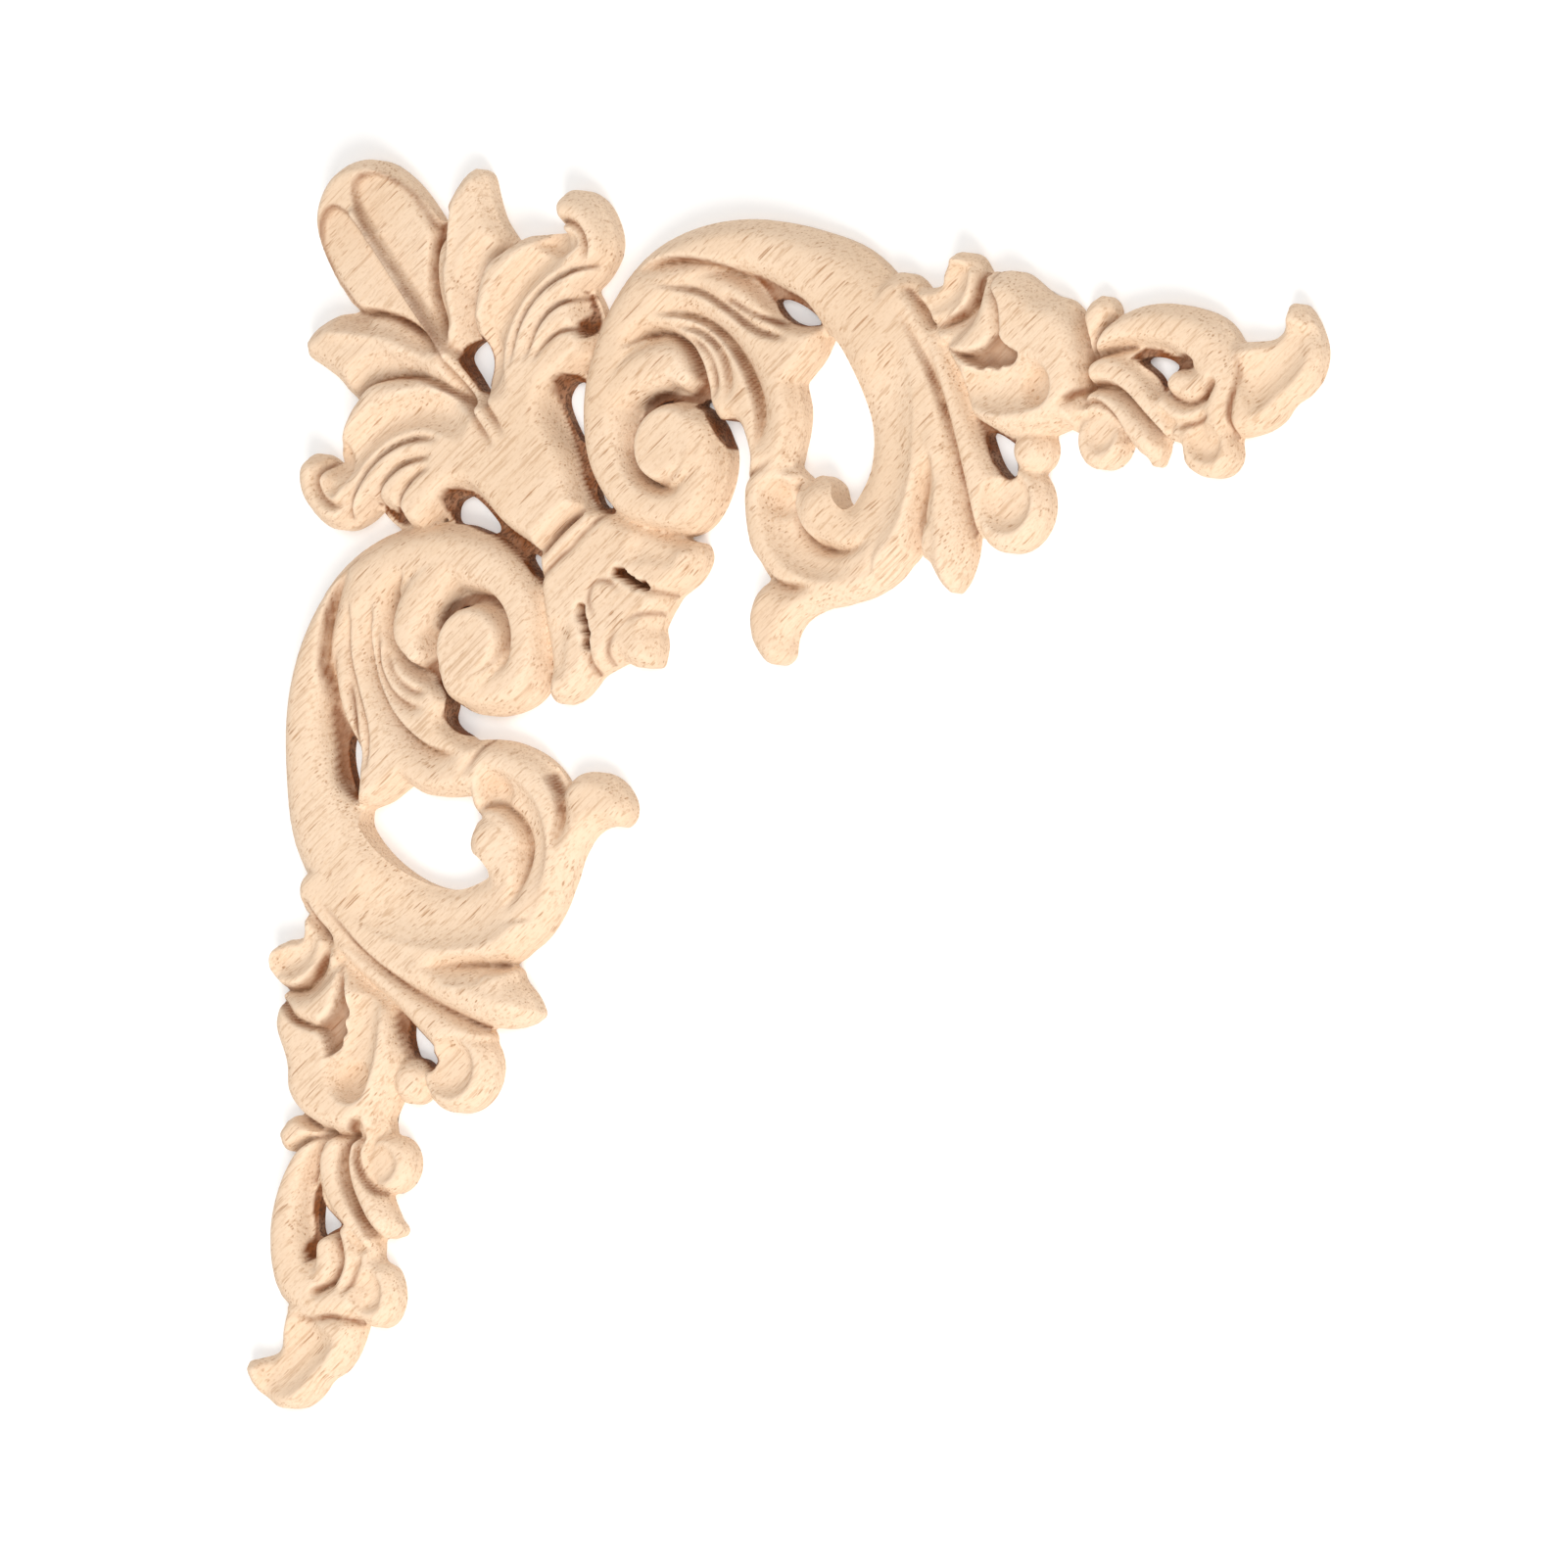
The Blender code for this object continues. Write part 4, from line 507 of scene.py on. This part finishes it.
# the neck and its collar
rib([(2.6, -2.4), (0.8, -0.4), (-0.4, 0.8), (-2.4, 2.6)], 2.2, CROWN_OF_TRUNK - CROWN_OF_LEAF, (0.0, 0.0))
stop_cut([(2.6, -2.0), (0.8, -0.6), (-0.6, 0.8), (-2.0, 2.6)], 1.8, 0.7, -1, (0.05, 0.05))
crease([(5.4, -2.0), (3.0, 0.4), (1.8, 1.8)], 0.9, 0.5, (0.2, 0.0))
# the folds of the lobes
flute([(8.4, 1.2), (11.4, 0.9), (14.6, 1.2)], 1.8, 0.6)
crease([(11.2, 5.0), (12.4, 5.2), (13.7, 5.4)], 1.0, 1.0, (0.2, 0.0))
crease([(8.8, 8.4), (10.4, 7.6), (12.4, 7.2)], 0.8, 0.35, (0.5, 0.0))
flute([(4.6, 6.0), (6.4, 7.6), (7.6, 9.6)], 1.3, 0.35)
# the slot between the lobes
slot = [(7.0, 3.3), (7.8, 3.1), (8.5, 3.4), (8.9, 3.8), (9.5, 3.9), (10.0, 4.3), (10.8, 4.2), (11.4, 4.7),
        (11.1, 5.3), (10.3, 5.0), (9.8, 5.2), (9.3, 4.8), (8.7, 4.7), (8.1, 4.3), (7.1, 4.1)]
pit(outline(slot), 0.9, 0.3)
crease([(3.0, 7.6), (4.4, 5.4), (6.4, 4.6), (8.4, 5.6)], 0.7, 0.25)

# Openings
#
# The gaps between the scrolls are sawn right through the board: round the eye, between band and acanthus,
# inside the scroll, beside the calyx, between the end leaves, and between trunk and volute. Round most of
# them the cutter has left a thin brown floor.


def opening(path, brown=0.15):
    """Hole sawn right through, with a brown border of that width."""
    box = window(path, 3.0)
    away = -depth_in(path, box)
    inside[box] = np.minimum(inside[box], away)
    if brown:
        burnt[box] = np.maximum(burnt[box], np.clip(1 - away / brown, 0, 1))


# round the eye
pit(outline([(8.8, -5.8), (7.4, -7.0), (6.8, -9.0), (7.0, -11.2), (8.2, -13.0), (10.2, -14.0), (12.2, -13.9),
             (13.5, -14.2), (14.6, -15.1), (15.6, -14.2)],
            [(15.6, -14.2), (16.5, -12.7), (17.6, -11.6)],
            [(17.6, -11.6), (16.4, -11.8), (14.8, -12.8), (12.6, -13.0), (10.4, -12.8), (8.8, -11.5),
             (8.0, -9.8), (8.0, -8.0), (8.8, -5.8)]), 1.0, 0.5, 0.8)
opening(outline([(8.4, -10.4), (8.2, -11.4), (9.2, -12.7), (10.8, -13.2), (12.0, -13.1), (11.0, -12.8),
                 (9.6, -12.1), (8.9, -11.2)]))
opening(outline([(13.8, -12.9), (14.8, -13.6), (15.6, -13.5)],
                [(15.6, -13.5), (16.6, -12.3), (17.6, -11.7), (19.3, -11.8), (20.4, -10.0), (19.4, -9.0),
                 (18.2, -9.2), (16.8, -11.2), (15.2, -12.5), (13.8, -12.9)]))
# between band and acanthus
pit(outline([(18.4, -26.0), (20.2, -25.8), (23.0, -24.9), (26.2, -23.8), (28.3, -21.6)],
            [(28.3, -21.6), (26.6, -21.3), (23.8, -21.7), (21.6, -23.0), (20.4, -24.0), (18.4, -26.0)]),
    1.0, 0.6, 0.8)
opening(outline([(21.3, -23.7), (23.4, -23.7), (25.6, -23.0), (27.8, -21.7)],
                [(27.8, -21.7), (25.8, -21.4), (23.7, -21.7), (22.3, -22.6), (21.3, -23.7)]))
# inside the scroll
opening(outline([(28.5, -20.7), (30.4, -20.3), (33.0, -17.2), (34.9, -13.0), (35.4, -8.8), (34.5, -5.8),
                 (33.4, -4.1)],
                [(33.4, -4.1), (32.2, -5.2), (31.4, -6.7), (29.2, -7.5), (28.0, -6.8)],
                [(28.0, -6.8), (26.1, -8.0)],
                [(26.1, -8.0), (26.7, -11.0), (26.5, -14.0), (25.6, -15.9)],
                [(25.6, -15.9), (27.5, -18.3), (28.5, -20.7)]), 0)
# beside the calyx
pit(outline([(46.9, -14.4), (49.2, -13.7), (52.1, -12.5)],
            [(52.1, -12.5), (52.2, -10.8), (53.1, -9.2), (51.8, -8.3)],
            [(51.8, -8.3), (49.8, -9.8), (46.9, -14.4)]), 1.0, 0.5, 0.8)
opening(outline([(48.1, -13.0), (50.0, -12.8), (51.7, -12.0)],
                [(51.7, -12.0), (51.8, -10.8), (52.6, -9.2), (51.7, -8.6)],
                [(51.7, -8.6), (49.9, -10.0), (48.1, -13.0)]))
# between the end leaves
pit(outline([(64.4, -21.0), (65.4, -22.3), (67.2, -22.4), (69.2, -21.9), (71.2, -22.1), (72.6, -21.4)],
            [(72.6, -21.4), (71.6, -20.6), (70.4, -20.2), (69.6, -19.2), (68.5, -17.9)],
            [(68.5, -17.9), (67.4, -19.5), (66.2, -20.6), (64.4, -21.0)]), 1.0, 0.5, 0.9)
opening(outline([(65.3, -21.0), (66.2, -21.5), (68.6, -21.4), (70.0, -20.8)],
                [(70.0, -20.8), (69.1, -19.6), (68.5, -18.4)], [(68.5, -18.4), (67.4, -19.8), (65.3, -21.0)]))
# between trunk and volute
pit(outline([(0.4, -13.8), (-0.2, -14.6), (-1.4, -14.9), (-2.6, -14.3), (-3.0, -12.9), (-2.5, -11.2),
             (-1.2, -9.2), (0.3, -6.8), (1.3, -4.6), (2.5, -2.7), (4.0, -1.9), (5.6, -1.7), (5.5, -2.5),
             (3.9, -4.3), (2.4, -6.6), (1.3, -9.0), (0.7, -11.4)]), 1.0, 0.5)
opening(outline([(-2.3, -12.4), (-1.6, -13.9), (-0.4, -14.1), (0.4, -13.6), (0.5, -12.0), (0.9, -10.2),
                 (1.2, -8.7), (0.3, -8.4), (-1.5, -10.6)]))
opening(outline([(2.6, -4.7), (3.3, -4.5), (4.6, -3.2), (5.0, -2.4), (4.0, -2.3), (3.2, -2.8), (2.7, -3.7)]))

# The other arm
#
# The arm along minus Y is the same drawing with U and V swapped. Only the hole and the fine line beside the
# palmette's rib are on one side. Then the face is sanded, which rounds it by a few tenths of a millimetre.

LEAST_WOOD = 0.7        # thinnest wood, at the bottom of the deepest cuts
SANDING = 3             # strokes

other_arm = U < V
surface[other_arm] = surface.T[other_arm]
inside[other_arm] = inside.T[other_arm]
burnt[other_arm] = burnt.T[other_arm]
crease_shade[other_arm] = crease_shade.T[other_arm]
# the hole and the fine line beside the rib, on one side only
bowl(oval(-12.2, -14.9, 3.6, 1.3, 80), 1.6, 3.2)
pit(outline([(-14.7, -15.8), (-12.3, -17.8), (-10.9, -15.4), (-11.1, -11.9), (-13.3, -13.7)]), 1.2, 0.4, 0.4)
opening(outline([(-14.5, -15.7), (-12.3, -17.5), (-11.1, -15.4), (-11.3, -12.2), (-13.2, -13.8)]))
cut([(-8.0, -9.1), (-14.0, -15.1), (-23.0, -24.1)], 0.4, 0.25, lambda t: (1 - t) ** 2, (0.1, 0.7), line=0.5)


def sanded(field, strokes):
    """The field averaged over its neighbours, stroke after stroke."""
    for _ in range(strokes):
        for way in (0, 1):
            field = (2 * field + np.roll(field, 1, way) + np.roll(field, -1, way)) / 4
    return field


surface = np.maximum(surface, LEAST_WOOD)
inside = sanded(np.maximum(inside, -1.0), 2 * SANDING)
wood = (inside > 0).astype(float)
weight = sanded(wood, SANDING)
surface = np.where(weight > 1e-6, sanded(surface * wood, SANDING) / np.maximum(weight, 1e-6), SAWN_EDGE)

# how deep each place lies below its wide and its close surroundings, fading out at the outer edge
hollow = np.zeros(U.shape)
for reach, share in ((60, 0.6), (8, 2.5)):
    around = sanded(surface * wood, reach) / np.maximum(sanded(wood, reach), 1e-6)
    hollow += share * np.clip(around - surface, -1.0, 2.0)
hollow *= np.clip(inside / 1.2, 0, 1)

# The carved solid
#
# Every second pass of the cutter becomes a row of the mesh. The rows are trimmed along the outline, an
# upright sawn edge goes down to the back, and the back is flat, to be glued on.

PASSES = 2              # of the cutter for each row of the mesh
EDGE_ROWS = 3
rows = axis[::PASSES]
row_step = CUTTER_STEP * PASSES
fields = (inside, surface, hollow, burnt, sanded(crease_shade, 1))
depth, height, tone, brown, dark = (field[::PASSES, ::PASSES] for field in fields)
points = []             # U, V, height, hollow, burnt, painted crease shade
point_at = {}


def corner(i, j):
    """Mesh point at a crossing of two rows."""
    if (i, j) not in point_at:
        point_at[i, j] = len(points)
        points.append((rows[i], rows[j], height[i, j], tone[i, j], brown[i, j], dark[i, j]))
    return point_at[i, j]


def rim(way, i, j):
    """Mesh point where the outline crosses a row."""
    if (way, i, j) not in point_at:
        k, l = (i + 1, j) if way == 0 else (i, j + 1)
        t = depth[i, j] / (depth[i, j] - depth[k, l])
        point_at[way, i, j] = len(points)
        points.append((rows[i] + t * row_step * (way == 0), rows[j] + t * row_step * (way == 1),
                       height[i, j] * (1 - t) + height[k, l] * t, tone[i, j] * (1 - t) + tone[k, l] * t,
                       max(brown[i, j], brown[k, l]), dark[i, j]))
    return point_at[way, i, j]


# corners of a cell are a, b, c and d, its sides S, E, N and W; a number tells which corners are in wood
RINGS = {1: ["aSW"], 2: ["bES"], 3: ["abEW"], 4: ["cNE"], 5: ["aSW", "cNE"], 6: ["bcNS"], 7: ["abcNW"],
         8: ["dWN"], 9: ["aSNd"], 10: ["bES", "dWN"], 11: ["abENd"], 12: ["cdWE"], 13: ["aSEcd"],
         14: ["bcdWS"], 15: ["abcd"]}
PLACES = {"a": (corner, 0, 0), "b": (corner, 1, 0), "c": (corner, 1, 1), "d": (corner, 0, 1),
          "S": (rim, 0, 0, 0), "E": (rim, 1, 1, 0), "N": (rim, 0, 0, 1), "W": (rim, 1, 0, 0)}
standing = (depth > 0).astype(int)
cells = standing[:-1, :-1] + 2 * standing[1:, :-1] + 4 * standing[1:, 1:] + 8 * standing[:-1, 1:]
faces = []
edge = []
for i, j in np.argwhere(cells > 0).tolist():
    for ring in RINGS[cells[i, j]]:
        face = []
        for letter in ring:
            find, *way, across, up = PLACES[letter]
            face.append(find(*way, i + across, j + up))
        faces.append(face[::-1])
        for k, letter in enumerate(ring):
            following = (k + 1) % len(ring)
            if letter in "SENW" and ring[following] in "SENW":
                edge.append((face[k], face[following]))

# the sawn edge
level = {k: k for pair in edge for k in pair}
top = sorted(level)
for row in range(1, EDGE_ROWS + 1):
    lower = {}
    for k in top:
        u, v, z, hollow_here, brown_here, _ = points[k]
        lower[k] = len(points)
        points.append((u, v, z * (1 - row / EDGE_ROWS), hollow_here, min(1, brown_here * 1.6), 0))
    faces += [[level[a], level[b], lower[b], lower[a]] for a, b in edge]
    level = lower

# the flat back
number = {k: n for n, k in enumerate(top)}
flat = [Vector(points[k][:2]) for k in top]
filled = delaunay_2d_cdt(flat, [(number[a], number[b]) for a, b in edge], [], 0, 1e-7)[2]
for triangle in filled:
    centre = sum((flat[k] for k in triangle), Vector((0, 0))) / 3
    i, j = (round((x - BOARD_LOW) / CUTTER_STEP) for x in centre)
    if inside[i, j] > 0:
        faces.append([level[top[k]] for k in triangle])

table = np.array(points)
onlay_mesh = bpy.data.meshes.new("carved_onlay")
onlay_mesh.from_pydata(np.column_stack([table[:, 0], -table[:, 1], table[:, 2]]) * MILLIMETRE, [], faces)
for name, column in (("hollow", 3), ("burnt", 4), ("crease_shade", 5)):
    onlay_mesh.attributes.new(name, "FLOAT", "POINT").data.foreach_set("value", table[:, column])
onlay_mesh.shade_smooth()
onlay_mesh.set_sharp_from_angle(angle=np.radians(60))
onlay = bpy.data.objects.new("carved_onlay", onlay_mesh)
bpy.context.collection.objects.link(onlay)

# Bare wood
#
# Sanded beech without a finish. Fine fibres and dark flecks run across the corner at 45 degrees, on both
# arms. The cutter has browned the sawn holes and the pockets. Painted shade darkens the bottoms of the cuts
# and the hollows, and the raised places are paler, partly from sanding and partly as painted highlight.

wood_finish = bpy.data.materials.new("bare_wood")
wood_finish.use_nodes = True
nodes = wood_finish.node_tree.nodes
links = wood_finish.node_tree.links
nodes.clear()


def node(kind, inputs=None, **settings):
    """Node with its settings and with values or links at its inputs."""
    made = nodes.new(kind)
    for name, value in settings.items():
        setattr(made, name, value)
    for name, value in (inputs or {}).items():
        if isinstance(value, bpy.types.NodeSocket):
            links.new(value, made.inputs[name])
        else:
            made.inputs[name].default_value = value
    return made


def mixed(factor, one, other):
    """Colour blended from two."""
    made = node("ShaderNodeMix", data_type="RGBA")
    for index, value in ((0, factor), (6, one), (7, other)):
        if isinstance(value, bpy.types.NodeSocket):
            links.new(value, made.inputs[index])
        else:
            made.inputs[index].default_value = value
    return made.outputs[2]


def ranged(value, low, high, to_low=0.0, to_high=1.0):
    """Value carried from one range to another and held within it."""
    made = node("ShaderNodeMapRange", {"From Min": low, "From Max": high, "To Min": to_low, "To Max": to_high,
                                       "Value": value})
    return made.outputs["Result"]


def times(one, other):
    """Product of two values."""
    made = node("ShaderNodeMath", {0: one, 1: other}, operation="MULTIPLY")
    return made.outputs[0]


PALE = (0.79, 0.61, 0.45, 1)
WARM = (0.69, 0.49, 0.325, 1)
FLECK = (0.36, 0.17, 0.07, 1)
# scorched brown of the cutter, also used for the painted shade lines in the cuts
SCORCH_AND_CREASE_SHADE = (0.20, 0.062, 0.016, 1)
CHARRED = (0.07, 0.028, 0.012, 1)
# colour of the grain streaks and grit, and of the painted shade in the hollows
DUST_AND_SHADE = (0.44, 0.25, 0.125, 1)
# paler sanded wood, also used as painted highlight on the raised places
SANDED_AND_HIGHLIGHT = (0.88, 0.72, 0.56, 1)


def laid(length, width):
    """Texture place for marks of that length along the fibres and that width across them, in millimetres."""
    along, across = 1 / (length * MILLIMETRE), 1 / (width * MILLIMETRE)
    return node("ShaderNodeMapping", {"Vector": turned, "Scale": (along, across, across)}).outputs["Vector"]


def flecks(length, width, share):
    """Dark vessel lines, in that share of the cells of a stretched pattern."""
    cell = node("ShaderNodeTexVoronoi", {"Vector": laid(length, width), "Scale": 1.0, "Randomness": 1.0})
    draw = node("ShaderNodeSeparateColor", {"Color": cell.outputs["Color"]}).outputs["Red"]
    return times(ranged(cell.outputs["Distance"], 0.40, 0.22), ranged(draw, 1 - share, 1.03 - share))


place = node("ShaderNodeTexCoord").outputs["Object"]
turned = node("ShaderNodeMapping", {"Vector": place, "Rotation": (0, 0, np.radians(-45))}).outputs["Vector"]
cloud = node("ShaderNodeTexNoise", {"Vector": laid(30, 8), "Scale": 1.0, "Detail": 3.0}).outputs["Fac"]
fibre = node("ShaderNodeTexNoise", {"Vector": laid(2.6, 0.24), "Scale": 1.0, "Detail": 4.0}).outputs["Fac"]
grit = node("ShaderNodeTexNoise", {"Vector": laid(0.55, 0.24), "Scale": 1.0, "Detail": 2.0}).outputs["Fac"]
streak = node("ShaderNodeTexNoise", {"Vector": laid(7.0, 0.34), "Scale": 1.0, "Detail": 2.0}).outputs["Fac"]
long_flecks = flecks(5.0, 0.26, 0.13)
short_flecks = flecks(1.7, 0.22, 0.18)

hollow_here = node("ShaderNodeAttribute", attribute_name="hollow").outputs["Fac"]
burnt_here = node("ShaderNodeAttribute", attribute_name="burnt").outputs["Fac"]
crease_shade_here = node("ShaderNodeAttribute", attribute_name="crease_shade").outputs["Fac"]
mottle = node("ShaderNodeTexNoise", {"Vector": place, "Scale": 420.0, "Detail": 4.0}).outputs["Fac"]

tint = mixed(ranged(cloud, 0.35, 0.7, 0.0, 0.5), PALE, WARM)
tint = mixed(ranged(fibre, 0.48, 0.70, 0.0, 0.55), tint, WARM)
tint = mixed(ranged(streak, 0.55, 0.68, 0.0, 0.45), tint, DUST_AND_SHADE)
tint = mixed(ranged(grit, 0.54, 0.72, 0.0, 0.3), tint, DUST_AND_SHADE)
tint = mixed(times(short_flecks, 0.45), tint, FLECK)
tint = mixed(times(long_flecks, 0.65), tint, FLECK)
# partly sanding wear and partly painted highlight: places that stand above their surroundings turn paler
tint = mixed(ranged(hollow_here, -0.15, -0.8, 0.0, 0.4), tint, SANDED_AND_HIGHLIGHT)
# painted shade: places that lie below their surroundings darken, where shade falls in hollows and creases
tint = mixed(ranged(hollow_here, 0.15, 1.3, 0.0, 0.65), tint, DUST_AND_SHADE)
# painted shade: dark lines at the bottoms of the cuts, where crease shadow falls
tint = mixed(times(crease_shade_here, ranged(mottle, 0.35, 0.6, 0.5, 1.0)), tint, SCORCH_AND_CREASE_SHADE)
tint = mixed(times(ranged(burnt_here, 0.1, 0.9), ranged(mottle, 0.3, 0.6, 0.7, 1.0)), tint, SCORCH_AND_CREASE_SHADE)
tint = mixed(times(ranged(burnt_here, 0.75, 1.0), ranged(grit, 0.46, 0.6, 0.0, 0.7)), tint, CHARRED)

dents = node("ShaderNodeMath", {0: long_flecks, 1: grit}, operation="ADD").outputs[0]
relief = node("ShaderNodeMath", {0: fibre, 1: dents}, operation="SUBTRACT").outputs[0]
bump = node("ShaderNodeBump", {"Height": relief, "Strength": 0.5, "Distance": 0.00006}).outputs["Normal"]
finish = node("ShaderNodeBsdfPrincipled", {"Base Color": tint, "Normal": bump, "Roughness": 0.68,
                                           "Specular IOR Level": 0.2})
links.new(finish.outputs["BSDF"], node("ShaderNodeOutputMaterial").inputs["Surface"])

onlay_mesh.materials.append(wood_finish)
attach(onlay, "root")
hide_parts("corner_onlay")

# Studio
#
# The onlay lies on a plain white floor. A soft light stands at the inside of the corner, a wider one hangs
# above, and the camera looks down on it with a long lens.

FLOOR = 3.0             # half its side, in metres
floor_mesh = bpy.data.meshes.new("studio_floor")
floor_mesh.from_pydata([(-FLOOR, -FLOOR, 0), (FLOOR, -FLOOR, 0), (FLOOR, FLOOR, 0), (-FLOOR, FLOOR, 0)], [],
                       [(0, 1, 2, 3)])
floor_finish = bpy.data.materials.new("floor_paint")
floor_finish.use_nodes = True
floor_finish.node_tree.nodes["Principled BSDF"].inputs["Base Color"].default_value = (0.95, 0.95, 0.95, 1)
floor_finish.node_tree.nodes["Principled BSDF"].inputs["Roughness"].default_value = 0.9
floor_mesh.materials.append(floor_finish)
studio_floor = bpy.data.objects.new("studio_floor", floor_mesh)
bpy.context.collection.objects.link(studio_floor)

world = bpy.data.worlds.new("studio_air")
world.use_nodes = True
world.node_tree.nodes["Background"].inputs["Color"].default_value = (1.0, 0.99, 0.98, 1)
world.node_tree.nodes["Background"].inputs["Strength"].default_value = 0.6
bpy.context.scene.world = world

middle = Vector((0.0265, -0.0265, 0.003))
for name, direction, distance, size, watts, colour in (
        ("key_light", (0.65, -0.95, 0.90), 0.9, 0.50, 5.5, (1.0, 0.97, 0.93)),
        ("top_light", (0.15, 0.25, 1.0), 1.0, 0.8, 4.0, (1.0, 0.99, 0.98))):
    lamp = bpy.data.lights.new(name, "AREA")
    lamp.shape = "DISK"
    lamp.size = size
    lamp.energy = watts
    lamp.color = colour
    light = bpy.data.objects.new(name, lamp)
    way = Vector(direction).normalized()
    light.location = middle + way * distance
    light.rotation_euler = way.to_track_quat("Z", "Y").to_euler()
    bpy.context.collection.objects.link(light)

# the camera looks against BACK, and RIGHT and UP are the directions of its picture
BACK = Vector((0.60, -0.006, 0.80)).normalized()
RIGHT = Vector((0.828, 0.104, -0.551))
UP = BACK.cross(RIGHT).normalized()
RIGHT = UP.cross(BACK)
SHARE = 0.80            # of the picture, filled by the longer side
camera_data = bpy.data.cameras.new("camera")
camera_data.lens = 900  # millimetres; so long that nothing looks nearer than the rest
camera_data.clip_start = 0.01
camera = bpy.data.objects.new("camera", camera_data)
across = [vertex.co.dot(RIGHT) for vertex in onlay_mesh.vertices]
upward = [vertex.co.dot(UP) for vertex in onlay_mesh.vertices]
aim = RIGHT * (min(across) + max(across)) / 2 + UP * (min(upward) + max(upward)) / 2
longer = max(max(across) - min(across), max(upward) - min(upward))
stand_at = aim + BACK * (longer / SHARE * camera_data.lens / camera_data.sensor_width)
camera.matrix_world = Matrix.Translation(stand_at) @ Matrix((RIGHT, UP, BACK)).transposed().to_4x4()
bpy.context.collection.objects.link(camera)
bpy.context.scene.camera = camera
bpy.context.scene.view_settings.view_transform = "Standard"
